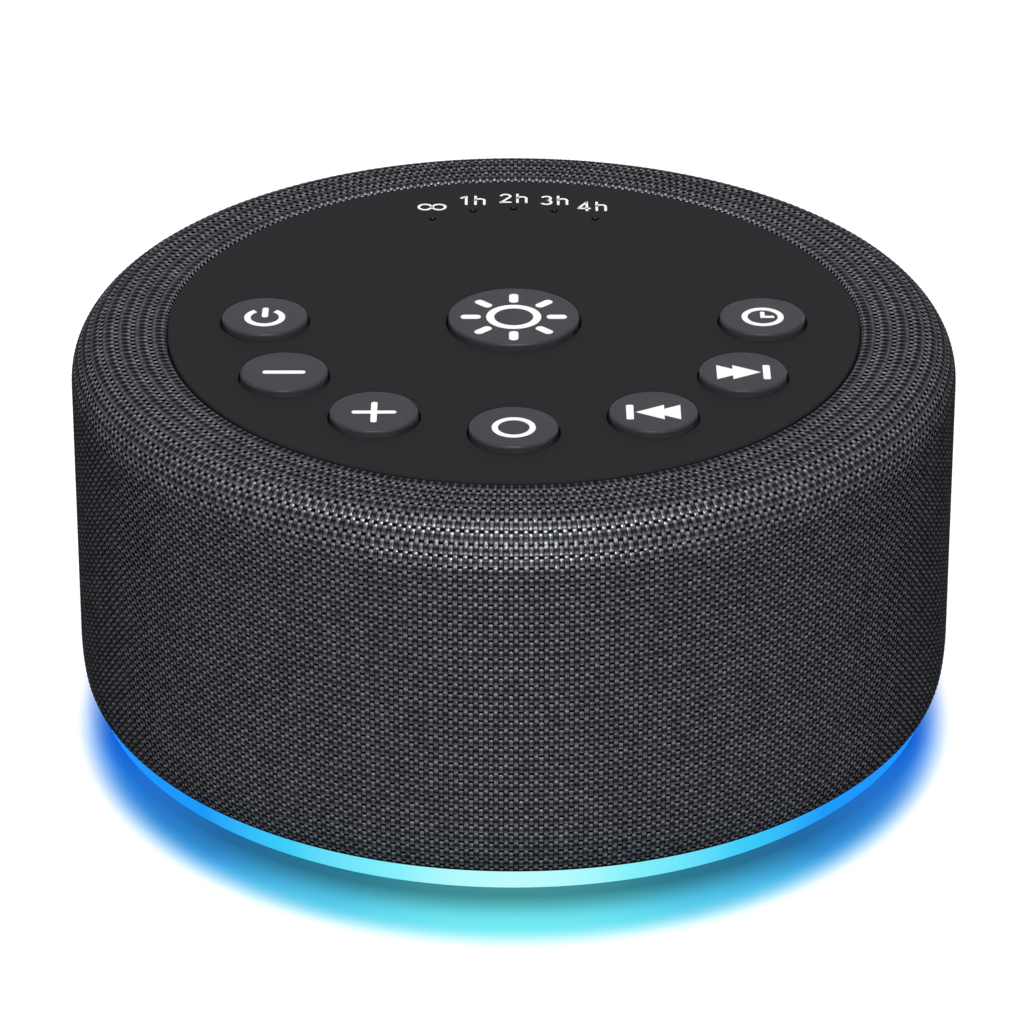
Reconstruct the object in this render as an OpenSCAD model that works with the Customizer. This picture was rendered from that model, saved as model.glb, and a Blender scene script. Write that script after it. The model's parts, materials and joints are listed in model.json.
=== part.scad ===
// White noise sound machine for a bedside table: a round speaker wrapped in woven
// fabric, with a key panel let into its top, a light ring round its foot and a power
// inlet at the back.
// Millimetres. +Z up, front towards -Y, origin on the table under the centre.

/* [Body] */
// Outer diameter over the fabric
body_d = 105; // [102:0.5:125]
// Height of the key panel's face above the table
body_h = 47.5; // [47:0.5:60]
// Radius of the rounded top edge
edge_r = 6; // [4:0.5:7.5]
// Thickness of the fabric cover
cover_t = 0.8; // [0.5:0.1:1.2]
// How far the side draws in at its lower hem
hem_draw = 0.6; // [0.2:0.1:1]
// Height over which the hem draws in
hem_h = 5; // [3:0.5:8]
// Wall of the shell under the fabric
shell_t = 2; // [1.5:0.1:2.4]
// Number of sound slots round the shell
sound_slots = 36; // [24:1:40]
// Width of a sound slot
slot_w = 3; // [2:0.5:4]

/* [Key panel] */
// Diameter of the panel
panel_d = 82; // [80:0.5:83]
// Thickness of the panel
panel_t = 2.2; // [1.8:0.1:3]
// Width of the ledge that carries the panel's rim
ledge_w = 3; // [2.5:0.1:3.4]
// Thickness of that ledge
ledge_t = 2; // [1.5:0.1:2.5]
// Diameter of a round key
key_d = 10.2; // [9:0.2:11]
// Diameter of the light key in the middle
light_key_d = 15.6; // [13:0.2:18]
// How far a key stands above the panel
key_rise = 0.8; // [0.5:0.1:1.5]
// Distance from the middle to the power and timer keys
side_key_r = 29.5; // [28:0.1:30]
// Distance from the middle to the volume down and next keys
corner_key_r = 30.4; // [28.5:0.1:30.5]
// Distance from the middle to the volume up and previous keys
lower_key_r = 29.6; // [28:0.1:30]
// Distance from the middle to the mode key in front
front_key_r = 28.8; // [27.5:0.1:30]
// Angle from the side keys to the corner keys
corner_key_a = 29; // [27:0.5:31]
// Angle from the side keys to the lower keys
lower_key_a = 57.5; // [56:0.5:60]
// Gap round a key in its hole
key_gap = 0.25; // [0.2:0.05:0.35]
// Travel of a key
key_travel = 0.5; // [0.3:0.05:0.6]
// Distance between the timer lamps
lamp_pitch = 5.05; // [4.5:0.05:5.5]
// Diameter of a timer lamp's hole
lamp_d = 1.1; // [0.9:0.1:1.6]

/* [Circuit] */
// Diameter of the main circuit board
board_d = 73; // [72:0.5:74]
// Thickness of the circuit boards
board_t = 1.6; // [1:0.1:2]
// Side of a tact switch
switch_w = 6; // [5:0.5:6.5]
// Height of a tact switch's case
switch_h = 3.5; // [3:0.1:4]
// Height of its plunger above the case
plunger_h = 1.5; // [1.2:0.1:2]
// Radius of a lead's wire
wire_r = 0.45; // [0.3:0.05:0.5]

/* [Speaker] */
// Outer diameter of the speaker's frame
speaker_d = 59; // [58:0.5:61]
// Depth of the speaker behind its flange
speaker_depth = 24.3; // [24:0.1:25]
// Outer diameter of the cone
cone_d = 37.6; // [36:0.2:38]
// Diameter of the voice coil's former
coil_d = 14; // [12:0.5:16]
// Diameter of the magnet
magnet_d = 40; // [34:1:44]
// Height of the magnet
magnet_h = 8; // [6:0.5:9]
// Thickness of the plate that carries the speaker
chassis_t = 2.4; // [2:0.1:3]

/* [Foot and light ring] */
// Height of the gap under the base, left by the feet
foot_gap = 1; // [0.6:0.1:2]
// Diameter of a rubber foot
foot_d = 11; // [8:0.5:12]
// Thickness of the base
base_t = 2.4; // [2:0.1:3]
// Height of the light ring's visible band
ring_h = 2.65; // [2.5:0.05:4]
// Width of the band at its lower face
ring_w = 3.4; // [3:0.1:4]
// How far the band's lower edge stands in from the side
ring_inset = 1.5; // [1.2:0.1:2]
// Number of lamps in the light ring
ring_leds_n = 12; // [6:6:12]
// Width of the ring-shaped light board
light_board_w = 9.25; // [9:0.25:10]

/* [Power inlet] */
// Width of the inlet's recess
inlet_w = 13; // [12:0.5:15]
// Height of the inlet's recess
inlet_h = 7.2; // [6.5:0.1:9]
// Depth of the recess
inlet_depth = 4.3; // [4.1:0.1:5]
// Width of the socket's metal shell
socket_w = 8.94; // [8.9:0.02:9]
// Height of the socket's metal shell
socket_h = 3.26; // [3.2:0.02:3.3]
// Length of the socket's metal shell
socket_l = 7.35; // [6.5:0.05:9]
// Height of the posts under the power board
power_post_h = 10; // [9:0.5:12]

/* [Fasteners and fits] */
// Thread diameter of the case screws
case_screw_d = 2.5; // [2.2:0.1:3]
// Thread diameter of the board screws
board_screw_d = 2; // [1.6:0.1:2.2]
// Close fit between two parts of the case
fit = 0.1; // [0.05:0.05:0.15]
// Free clearance round a part that drops in
clear = 0.3; // [0.2:0.05:0.4]

/* [Hidden] */
$fn = 96;

// Corner positions shared by the four-fold screw patterns
corners = [45, 135, 225, 315];

// Pan-head proportions of both screw sizes
case_head_r = case_screw_d;
case_head_h = 0.64 * case_screw_d;
board_head_r = board_screw_d;
board_head_h = 0.6 * board_screw_d;
// Holes that a screw passes through, and holes that its thread bites into
case_hole_r = case_screw_d / 2 + 0.15;
case_pilot_r = case_screw_d / 2 + 0.03;
board_hole_r = board_screw_d / 2 + 0.15;
board_pilot_r = board_screw_d / 2 + 0.03;

// Shell and cover
glue_t = 0.05;
body_r = body_d / 2;
wrap_t = cover_t + glue_t;
hem_z = foot_gap + ring_h;
shell_in_r = body_r - wrap_t - shell_t;
hem_in_r = shell_in_r - hem_draw;
// The largest radius that goes in through the shell's open foot
drop_r = hem_in_r - clear;
seat_z = body_h - panel_t;
// The cover turns down beside the panel's edge, on to the ledge
tuck_r = panel_d / 2 + fit;
recess_r = tuck_r + wrap_t;
ledge_r = panel_d / 2 - ledge_w;
deck_z = body_h - wrap_t;
slot_end_gap = 0.6;

// Base and light ring
base_z1 = foot_gap + base_t;
ring_low_r = body_r - ring_inset;
ring_top_r = body_r - hem_draw - 0.3;
ring_in_r = ring_low_r - ring_w;
base_r = ring_in_r - 2 * fit;
lip_t = 1.7;
lip_z0 = base_z1 + fit;
lip_z1 = lip_z0 + lip_t;
lip_r = hem_in_r - fit;
lip_in_r = drop_r - light_board_w / 2 + 0.4;
ring_led_w = 5;
ring_led_h = 1.4;
ring_led_r = drop_r - ring_led_w / 2 - 0.65;
light_board_t = 1.2;
light_board_z = lip_z1 + 0.4 + ring_led_h;
light_board_in_r = drop_r - light_board_w;
rib_t = 1.2;
// The light board stands on its posts, clear of the rib between them
rib_z1 = light_board_z - 0.2;
rib_r = light_board_in_r + 2.3;
light_post_r = 2;
light_screw_l = 4.5;
light_screw_angles = [30, 150, 270];
foot_recess = 0.6;
foot_z1 = foot_gap + foot_recess;
foot_fit = 0.1;
base_boss_r = case_head_r + 2;
base_head_z1 = foot_z1 + case_head_h;
base_boss_z1 = base_head_z1 + 2.2;

// Keys, switches and the main board
key_play = 0.05;
key_rim = 0.35;
key_flange_t = 1;
key_flange_w = 0.8;
key_stem_h = 1.3;
key_stem_r = 1.5;
plunger_r = 1.75;
plunger_sink = 0.3;
switch_z1 = seat_z - key_play - key_flange_t - key_stem_h - plunger_h;
main_board_z1 = switch_z1 - switch_h;
main_board_z0 = main_board_z1 - board_t;
panel_boss_r = 2.8;
panel_boss_ring_r = 19;
board_screw_l = 6;
snap_angles = [40, 140, 224, 316];
snap_w = 6;
snap_t = 1.3;
snap_hook = 0.9;
// Chips under the board, each with its place and size: [x, y, width, depth, height]
chips = [[0, -4, 9, 9, 1.2], [-14, 3, 6, 5, 1.3], [13, -1, 5, 6, 1.2], [5, 20, 5, 4, 1.4]];
capacitor_r = 2.5;
capacitor_h = 4.8;

// Speaker: the roll spans from the cone to the frame's opening
speaker_r = speaker_d / 2;
speaker_flange_w = 6.5;
flange_t = 1.2;
frame_in_r = speaker_r - speaker_flange_w;
frame_wall_r = frame_in_r + 0.7;
roll_t = 0.4;
roll_w = frame_in_r - roll_t - cone_d / 2;
roll_r = cone_d / 2 + roll_w / 2;
// It stands midway between the base and the main board, with room for the cone's stroke
cone_clear = 0.95;
speaker_h = speaker_depth + flange_t + roll_t + roll_w / 2 + cone_clear;
speaker_z0 = base_z1 + (main_board_z0 - base_z1 - speaker_h) / 2;
flange_z = speaker_z0 + speaker_depth;
// The chassis that carries it
gasket_t = 0.8;
chassis_z1 = flange_z - gasket_t;
chassis_z0 = chassis_z1 - chassis_t;
chassis_hole_r = frame_wall_r + 0.9;
back_plate_t = 2.5;
top_plate_t = 2.5;
frame_floor_t = 1;
magnet_z = speaker_z0 + back_plate_t;
top_plate_z = magnet_z + magnet_h;
frame_z0 = top_plate_z + top_plate_t;
spider_z = frame_z0 + 2 * frame_floor_t;
spider_t = 0.4;
spider_r = 16;
frame_foot_r = 18;
frame_foot_w = 3;
frame_window_w = 14;
frame_window_rim = 0.9;
coil_r = coil_d / 2;
former_t = 0.3;
winding_t = 0.35;
pole_r = coil_r - former_t - 0.25;
gap_r = coil_r + winding_t + 0.25;
cone_t = 0.5;
cone_z0 = spider_z + spider_t + 0.6;
cone_z1 = flange_z + flange_t;
cap_r = coil_r + 1.6;
cap_h = 2.8;
speaker_screw_r = speaker_r - 2.5;
speaker_screw_l = 7.5;
chassis_boss_r = 2.8;
chassis_boss_h = 4;
post_r = 3.2;
post_ring_r = light_board_in_r - clear - post_r;
base_screw_l = 9.5;
shell_boss_r = 3.8;
shell_boss_ring_r = shell_in_r - shell_boss_r + 0.35;
chassis_screw_l = 8;
terminal_r = frame_foot_r + 3.5;
terminal_z = spider_z + 1.8;
terminal_w = 8;

// Timer lamps: five on an arc, with a light guide behind the panel
lamp_arc_r = 18;
lamp_arc_y = 14.6;
lamps = [-2, -1, 0, 1, 2];
guide_w = 2.4;
guide_t = 1.8;
guide_gap = 0.2;
indicator_led = [2, 1.25, 0.8];

// Leads: plugged into headers under the main board, and led down through the chassis
lead_hole_r = 3;
lead_r = speaker_r + 0.5 + lead_hole_r;
header_h = 2.5;
plug_h = 2.5;
header_d = 4;
speaker_lead_angle = 180;
light_lead_angle = 0;
power_lead_angle = 90;
// Number of wires, and the distance between them
speaker_wires = [2, 2.4];
light_wires = [4, 1.3];
power_wires = [2, 2];

// Power board, socket and bezel
inlet_y = body_r - inlet_depth;
bezel_wall = 1.3;
bezel_back_t = 1.2;
bezel_flange = 1.5;
socket_y1 = inlet_y - 0.2;
socket_wall = 0.3;
power_board_z = base_z1 + power_post_h;
power_board_w = 20;
power_board_l = 13.8;
power_board_y1 = inlet_y - bezel_back_t - 0.2;
power_board_y0 = power_board_y1 - power_board_l;
power_post_r = 2.2;
power_post_x = 7;
power_post_y = power_board_y0 + 2;
power_screw_l = 5;
inlet_z = power_board_z + board_t + socket_h / 2;

// Each key's place on the panel: [x, y, diameter]
function ring_key(r, angle) = [r * cos(angle), r * sin(angle), key_d];
power_at = ring_key(side_key_r, 180);
volume_down_at = ring_key(corner_key_r, 180 + corner_key_a);
volume_up_at = ring_key(lower_key_r, 180 + lower_key_a);
mode_at = ring_key(front_key_r, 270);
previous_at = ring_key(lower_key_r, -lower_key_a);
next_at = ring_key(corner_key_r, -corner_key_a);
timer_at = ring_key(side_key_r, 0);
light_at = [0, 0, light_key_d];
keys_at = [
    power_at, volume_down_at, volume_up_at, mode_at, previous_at, next_at, timer_at, light_at
];

function lamp_at(k) = [k * lamp_pitch, lamp_arc_y + sqrt(pow(lamp_arc_r, 2) - pow(k * lamp_pitch, 2))];

// Arc in the profile plane, from angle a0 to a1 in n steps
function arc(cx, cz, rx, rz, a0, a1, n) =
    [for (i = [0:n]) let (a = a0 + (a1 - a0) * i / n) [cx + rx * cos(a), cz + rz * sin(a)]];

// The body's side from the hem to the top deck, t inside the fabric's face
function skin(t) = concat(
    arc(body_r - hem_draw - t, hem_z + hem_h, hem_draw, hem_h, -90, 0, 8),
    arc(body_r - edge_r, body_h - edge_r, edge_r - t, edge_r - t, 0, 90, 14)
);

function reversed(list) = [for (i = [len(list) - 1:-1:0]) list[i]];

// Outline of a w by h rectangle with corners of radius r
function rounded(w, h, r) = [
    for (c = [[1, 1, 0], [-1, 1, 90], [-1, -1, 180], [1, -1, 270]], i = [0:5])
        [c[0] * (w / 2 - r) + r * cos(c[2] + 18 * i), c[1] * (h / 2 - r) + r * sin(c[2] + 18 * i)]
];

// Catmull-Rom curve through the points, with four steps to each stretch
function spline(p) = concat(
    [for (i = [0:len(p) - 2], j = [0:3]) let (
        t = j / 4,
        a = p[max(i - 1, 0)], b = p[i], c = p[i + 1], d = p[min(i + 2, len(p) - 1)]
    ) b + t * (c - a) / 2 + t * t * (a - 2.5 * b + 2 * c - 0.5 * d)
        + t * t * t * (1.5 * (b - c) + (d - a) / 2)],
    [p[len(p) - 1]]
);

// ---------------------------------------------------------------- shared shapes

module tube(r_out, r_in, z0, z1) translate([0, 0, z0]) difference() {
    cylinder(r = r_out, h = z1 - z0);
    translate([0, 0, -1]) cylinder(r = r_in, h = z1 - z0 + 2);
}

module rod(r, z0, z1) translate([0, 0, z0]) cylinder(r = r, h = z1 - z0);

// Copies round the Z axis, at the given radius and angles
module around(r, angles) for (a = angles) rotate(a) translate([r, 0, 0]) children();

// Pan-head screw, its thread towards -Z and the underside of its head at z = 0
module screw(d, head_r, head_h, length) difference() {
    rotate_extrude() polygon([
        [0, -length], [d / 2 - 0.3, -length], [d / 2, -length + 0.3], [d / 2, 0],
        [head_r, 0], [head_r, head_h * 0.55], [head_r * 0.7, head_h], [0, head_h]
    ]);
    for (a = [0, 90]) rotate(a)
        translate([-head_r * 0.55, -d * 0.12, head_h * 0.4]) cube([head_r * 1.1, d * 0.24, head_h]);
}

module case_screw(length) screw(case_screw_d, case_head_r, case_head_h, length);
module board_screw(length) screw(board_screw_d, board_head_r, board_head_h, length);

// Bar along Y with a rounded section, centred on the inlet's axis
module inlet_bar(w, h, r, y0, y1)
    translate([0, y1, inlet_z]) rotate([90, 0, 0]) linear_extrude(y1 - y0) polygon(rounded(w, h, r));

// Round wire along a path of [radius, height] points in the XZ plane
module wire(path) {
    n = 8;
    last = len(path) - 1;
    points = [
        for (i = [0:last]) let (
            d = path[min(i + 1, last)] - path[max(i - 1, 0)],
            u = d / norm(d)
        ) for (k = [0:n - 1]) let (c = wire_r * cos(360 * k / n), s = wire_r * sin(360 * k / n))
            [path[i].x - u.y * c, s, path[i].y + u.x * c]
    ];
    sides = [for (i = [0:last - 1], k = [0:n - 1])
        [i * n + k, i * n + (k + 1) % n, (i + 1) * n + (k + 1) % n, (i + 1) * n + k]];
    start = [for (k = [n - 1:-1:0]) k];
    end = [for (k = [0:n - 1]) last * n + k];
    polyhedron(points, concat(sides, [start, end]));
}

// Flat row of wires side by side, leaving the axis at the given angle
module lead(path, wires, angle) rotate(angle) for (i = [0:wires[0] - 1])
    translate([0, (i - (wires[0] - 1) / 2) * wires[1], 0]) wire(spline(path));

// Rectangular block of a connector that is as wide as its wires need
module connector(wires, angle, z0, z1) rotate(angle)
    translate([lead_r - header_d / 2, -wires[0] * wires[1] / 2 - 0.5, z0])
        cube([header_d, wires[0] * wires[1] + 1, z1 - z0]);

// ---------------------------------------------------------------- cover and shell

module fabric_cover() color("#3d3e42") difference() {
    rotate_extrude() polygon(concat(
        skin(0),
        [[tuck_r, body_h], [tuck_r, seat_z], [tuck_r + cover_t, seat_z],
         [tuck_r + cover_t, body_h - cover_t]],
        reversed(skin(cover_t))
    ));
    inlet_window();
}

// Hole in the side that the inlet's bezel fills
module inlet_window() inlet_bar(
    inlet_w + 2 * bezel_wall + 2 * fit, inlet_h + 2 * bezel_wall + 2 * fit, 2.5, inlet_y - 3, body_r + 5
);

module outer_shell() color("#202023") difference() {
    union() {
        difference() {
            rotate_extrude() polygon(concat(
                skin(wrap_t),
                [[recess_r, deck_z], [recess_r, seat_z], [ledge_r, seat_z],
                 [ledge_r, seat_z - ledge_t], [recess_r + shell_t, seat_z - ledge_t],
                 [recess_r + shell_t, deck_z - shell_t]],
                reversed(skin(wrap_t + shell_t))
            ));
            sound_slot_cuts();
        }
        intersection() {
            around(shell_boss_ring_r, corners) rod(shell_boss_r, chassis_z1, deck_z - shell_t + 0.3);
            rotate_extrude() polygon(concat([[0, hem_z]], skin(wrap_t), [[0, deck_z]]));
        }
    }
    around(shell_boss_ring_r, corners) rod(case_pilot_r, chassis_z1 - 1, chassis_z1 + chassis_screw_l);
    inlet_window();
}

module sound_slot_cuts() for (i = [0:sound_slots - 1]) rotate((i + 0.5) * 360 / sound_slots)
    translate([shell_in_r - 1, -slot_w / 2, chassis_z1 + slot_end_gap])
        cube([shell_t + 3, slot_w, body_h - edge_r - chassis_z1 - 2 * slot_end_gap]);

// ---------------------------------------------------------------- panel and keys

module control_panel() color("#2f2f31") difference() {
    union() {
        rotate_extrude() polygon([
            [0, seat_z], [panel_d / 2, seat_z], [panel_d / 2, body_h - 0.2],
            [panel_d / 2 - 0.2, body_h], [0, body_h]
        ]);
        around(panel_boss_ring_r, corners) rod(panel_boss_r, main_board_z1, seat_z + 0.5);
        for (a = snap_angles) rotate(a) snap();
    }
    for (k = keys_at) translate([k.x, k.y, 0]) rod(k.z / 2 + key_gap, seat_z - 1, body_h + 1);
    for (k = lamps) translate(lamp_at(k)) rod(lamp_d / 2, seat_z - 1, body_h + 1);
    around(panel_boss_ring_r, corners)
        rod(board_pilot_r, main_board_z1 - 1, main_board_z1 + board_screw_l - board_t + 0.5);
}

// Spring clip whose hook catches under the ledge
module snap() {
    arm_r = ledge_r - clear - snap_t;
    hook_z = seat_z - ledge_t - fit;
    translate([0, snap_w / 2, 0]) rotate([90, 0, 0]) linear_extrude(snap_w) polygon([
        [arm_r, hook_z - 1.6], [arm_r + snap_t, hook_z - 1.6],
        [arm_r + snap_t + snap_hook, hook_z - 0.7], [arm_r + snap_t + snap_hook, hook_z],
        [arm_r + snap_t, hook_z], [arm_r + snap_t, seat_z + 0.5], [arm_r, seat_z + 0.5]
    ]);
}

// Key cap with a rounded rim, a flange under the panel and a stem on its switch
module key_cap(at) translate([at.x, at.y, 0]) color("#4c4b50") rotate_extrude() polygon(concat(
    [[0, switch_z1 + plunger_h], [key_stem_r, switch_z1 + plunger_h],
     [key_stem_r, switch_z1 + plunger_h + key_stem_h],
     [at.z / 2 + key_flange_w, switch_z1 + plunger_h + key_stem_h],
     [at.z / 2 + key_flange_w, seat_z - key_play], [at.z / 2, seat_z - key_play]],
    arc(at.z / 2 - key_rim, body_h + key_rise - key_rim, key_rim, key_rim, 0, 90, 5),
    [[0, body_h + key_rise]]
));

module power_key() key_cap(power_at);
module volume_down_key() key_cap(volume_down_at);
module volume_up_key() key_cap(volume_up_at);
module mode_key() key_cap(mode_at);
module previous_key() key_cap(previous_at);
module next_key() key_cap(next_at);
module timer_key() key_cap(timer_at);
module light_key() key_cap(light_at);

module plunger(at) translate([at.x, at.y, 0]) color("#e8e4d8")
    rod(plunger_r, switch_z1 - plunger_sink, switch_z1 + plunger_h);

module power_switch_plunger() plunger(power_at);
module volume_down_switch_plunger() plunger(volume_down_at);
module volume_up_switch_plunger() plunger(volume_up_at);
module mode_switch_plunger() plunger(mode_at);
module previous_switch_plunger() plunger(previous_at);
module next_switch_plunger() plunger(next_at);
module timer_switch_plunger() plunger(timer_at);
module light_switch_plunger() plunger(light_at);

module switch_bodies() color("#1c1c1e") for (k = keys_at) translate([k.x, k.y, 0]) difference() {
    translate([-switch_w / 2, -switch_w / 2, main_board_z1]) cube([switch_w, switch_w, switch_h]);
    rod(plunger_r + 0.1, switch_z1 - plunger_sink - key_travel - 0.1, switch_z1 + 1);
}

// ---------------------------------------------------------------- main board

module main_board() color("#1f5a3a") difference() {
    rod(board_d / 2, main_board_z0, main_board_z1);
    around(panel_boss_ring_r, corners) rod(board_hole_r, main_board_z0 - 1, main_board_z1 + 1);
}

module board_screws() color("silver") around(panel_boss_ring_r, corners)
    translate([0, 0, main_board_z0]) mirror([0, 0, 1]) board_screw(board_screw_l);

module board_chips() color("#161618") for (c = chips)
    translate([c[0] - c[2] / 2, c[1] - c[3] / 2, main_board_z0 - c[4]]) cube([c[2], c[3], c[4]]);

module board_capacitors() color("#2b3550") around(lead_r - 0.6, [60, 120, 300])
    rod(capacitor_r, main_board_z0 - capacitor_h, main_board_z0);

module board_headers() color("#efe9da") {
    connector(speaker_wires, speaker_lead_angle, main_board_z0 - header_h, main_board_z0);
    connector(light_wires, light_lead_angle, main_board_z0 - header_h, main_board_z0);
    connector(power_wires, power_lead_angle, main_board_z0 - header_h, main_board_z0);
}

module lead_plugs() color("#f4f1e8") {
    z1 = main_board_z0 - header_h;
    connector(speaker_wires, speaker_lead_angle, z1 - plug_h, z1);
    connector(light_wires, light_lead_angle, z1 - plug_h, z1);
    connector(power_wires, power_lead_angle, z1 - plug_h, z1);
}

module indicator_light_guide() color("#e6edf0") union() {
    intersection() {
        translate([0, lamp_arc_y, 0])
            tube(lamp_arc_r + guide_w / 2, lamp_arc_r - guide_w / 2, seat_z - guide_t, seat_z);
        translate([-2.5 * lamp_pitch, lamp_arc_y, seat_z - guide_t - 1])
            cube([5 * lamp_pitch, lamp_arc_r + guide_w, guide_t + 2]);
    }
    for (k = lamps) translate(lamp_at(k)) {
        rod(lamp_d / 2 - 0.05, seat_z - 0.5, body_h - 0.6);
        rod(1, main_board_z1 + indicator_led.z + guide_gap, seat_z - guide_t + 0.5);
    }
}

module indicator_leds() color("#f2eecf") for (k = lamps) translate(lamp_at(k))
    translate([-indicator_led.x / 2, -indicator_led.y / 2, main_board_z1]) cube(indicator_led);

// ---------------------------------------------------------------- speaker

// Plate across the shell, with posts down to the base and bosses for the speaker
module speaker_chassis() color("#2a2a2d") difference() {
    union() {
        rod(drop_r, chassis_z0, chassis_z1);
        around(post_ring_r, corners) rod(post_r, base_boss_z1, chassis_z0 + 0.5);
        around(speaker_screw_r, corners) rod(chassis_boss_r, chassis_z0 - chassis_boss_h, chassis_z0 + 0.5);
    }
    rod(chassis_hole_r, chassis_z0 - chassis_boss_h - 1, chassis_z1 + 1);
    around(post_ring_r, corners) rod(case_pilot_r, base_boss_z1 - 1, base_boss_z1 + base_screw_l);
    around(speaker_screw_r, corners)
        rod(case_pilot_r, flange_z + flange_t - speaker_screw_l - 0.3, chassis_z1 + 1);
    around(shell_boss_ring_r, corners) rod(case_hole_r, chassis_z0 - 1, chassis_z1 + 1);
    around(lead_r, [speaker_lead_angle, light_lead_angle, power_lead_angle])
        rod(lead_hole_r, chassis_z0 - 1, chassis_z1 + 1);
}

module chassis_screws() color("silver") around(shell_boss_ring_r, corners)
    translate([0, 0, chassis_z0]) mirror([0, 0, 1]) case_screw(chassis_screw_l);

module speaker_gasket() color("#18181a") difference() {
    tube(speaker_r - 0.2, chassis_hole_r + 0.2, chassis_z1, flange_z);
    around(speaker_screw_r, corners) rod(case_hole_r, chassis_z1 - 1, flange_z + 1);
}

module speaker_frame() color("#3a3c40") difference() {
    union() {
        rotate_extrude() polygon([
            [gap_r + frame_foot_w, frame_z0], [frame_foot_r + 0.6, frame_z0],
            [frame_foot_r + 1, spider_z], [frame_wall_r, flange_z], [speaker_r, flange_z],
            [speaker_r, flange_z + flange_t], [frame_in_r, flange_z + flange_t],
            [frame_in_r, flange_z], [frame_foot_r, spider_z], [spider_r - 1, spider_z],
            [spider_r - 1, frame_z0 + frame_floor_t], [gap_r + frame_foot_w, frame_z0 + frame_floor_t]
        ]);
        difference() {
            translate([-terminal_r, -terminal_w / 2 + 0.5, spider_z])
                cube([terminal_r - frame_foot_r, terminal_w - 1, 3.4]);
            rod(frame_foot_r + 0.3, spider_z - 1, flange_z);
        }
    }
    for (a = corners) rotate(a) translate([spider_r, -frame_window_w / 2, spider_z + frame_window_rim])
        cube([frame_wall_r - spider_r + 1, frame_window_w, flange_z - spider_z - 2 * frame_window_rim]);
    around(speaker_screw_r, corners) rod(case_hole_r, flange_z - 1, flange_z + flange_t + 1);
}

module speaker_screws() color("silver") around(speaker_screw_r, corners)
    translate([0, 0, flange_z + flange_t]) case_screw(speaker_screw_l);

// Solder strip on the frame's side, with one lug for each wire
module speaker_terminals() color("#b08d4a") {
    translate([-terminal_r - 1, -terminal_w / 2, spider_z - 0.2]) cube([1, terminal_w, 4.2]);
    for (s = [-1, 1]) translate([-terminal_r - 2.4, s * speaker_wires[1] / 2 - 0.7, terminal_z - 0.3])
        cube([1.5, 1.4, 0.6]);
}

module speaker_magnet() color("#45474b") tube(magnet_d / 2, gap_r + 3.4, magnet_z, top_plate_z);

module speaker_top_plate() color("#8d9094") tube(magnet_d / 2 - 0.8, gap_r, top_plate_z, frame_z0);

module speaker_back_plate() color("#8d9094") union() {
    rod(magnet_d / 2 - 0.5, speaker_z0, magnet_z);
    rod(pole_r, magnet_z - 0.5, frame_z0);
}

// Paper former with its copper winding in the magnet's gap
module voice_coil() color("#b87333") union() {
    tube(coil_r, coil_r - former_t, frame_z0 - 5.5, cone_z0 + 0.6);
    tube(coil_r + winding_t, coil_r - 0.1, frame_z0 - 4, frame_z0 + 0.5);
}

module speaker_spider() color("#c9a24a") tube(spider_r, coil_r + 0.1, spider_z, spider_z + spider_t);

module speaker_cone() color("#26262a") rotate_extrude() polygon([
    [coil_r + 0.05, cone_z0], [coil_r + 0.05 + cone_t, cone_z0],
    [cone_d / 2, cone_z1 - cone_t], [cone_d / 2, cone_z1], [cone_d / 2 - 0.8, cone_z1],
    [coil_r + 0.05, cone_z0 + 1]
]);

// Dome glued on the cone over the coil
module speaker_dust_cap() color("#2c2c30") {
    slope = (cone_z1 - cone_z0 - 1) / (cone_d / 2 - 0.8 - coil_r - 0.05);
    z0 = cone_z0 + 1 + slope * (cap_r - coil_r - 0.05) + 0.1;
    rotate_extrude() polygon(concat(
        arc(0, z0, cap_r, cap_h, 0, 90, 10),
        reversed(arc(0, z0, cap_r - 0.4, cap_h - 0.4, 0, 90, 10))
    ));
}

// Half-roll edge between the cone and the frame
module speaker_surround() color("#1b1b1d") rotate_extrude() polygon(concat(
    [[frame_in_r + 1.2, cone_z1], [frame_in_r + 1.2, cone_z1 + roll_t]],
    arc(roll_r, cone_z1 + roll_t, roll_w / 2, roll_w / 2, 0, 180, 12),
    [[cone_d / 2 - 0.7, cone_z1 + roll_t], [cone_d / 2 - 0.7, cone_z1], [cone_d / 2 + roll_t, cone_z1]],
    arc(roll_r, cone_z1 + roll_t, roll_w / 2 - roll_t, roll_w / 2 - roll_t, 180, 0, 12),
    [[cone_d / 2 + roll_w - roll_t, cone_z1]]
));

// ---------------------------------------------------------------- light ring

// Clear band round the foot, with a lip that carries the lamps' light out to it
module light_ring() color("#7fe6ff") rotate_extrude() polygon([
    [ring_in_r, foot_gap], [ring_low_r, foot_gap], [ring_top_r, hem_z], [lip_r, hem_z],
    [lip_r, lip_z1], [lip_in_r, lip_z1], [lip_in_r, lip_z0], [ring_in_r, lip_z0]
]);

module light_board() color("#e9ebe6") difference() {
    tube(drop_r, light_board_in_r, light_board_z, light_board_z + light_board_t);
    around(rib_r, light_screw_angles) rod(board_hole_r, light_board_z - 1, light_board_z + light_board_t + 1);
}

module ring_leds() color("#f6f3dc") for (i = [0:ring_leds_n - 1]) rotate((i + 0.5) * 360 / ring_leds_n)
    translate([ring_led_r - ring_led_w / 2, -ring_led_w / 2, light_board_z - ring_led_h])
        cube([ring_led_w, ring_led_w, ring_led_h]);

module light_board_screws() color("silver") around(rib_r, light_screw_angles)
    translate([0, 0, light_board_z + light_board_t]) board_screw(light_screw_l);

// ---------------------------------------------------------------- base

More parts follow.
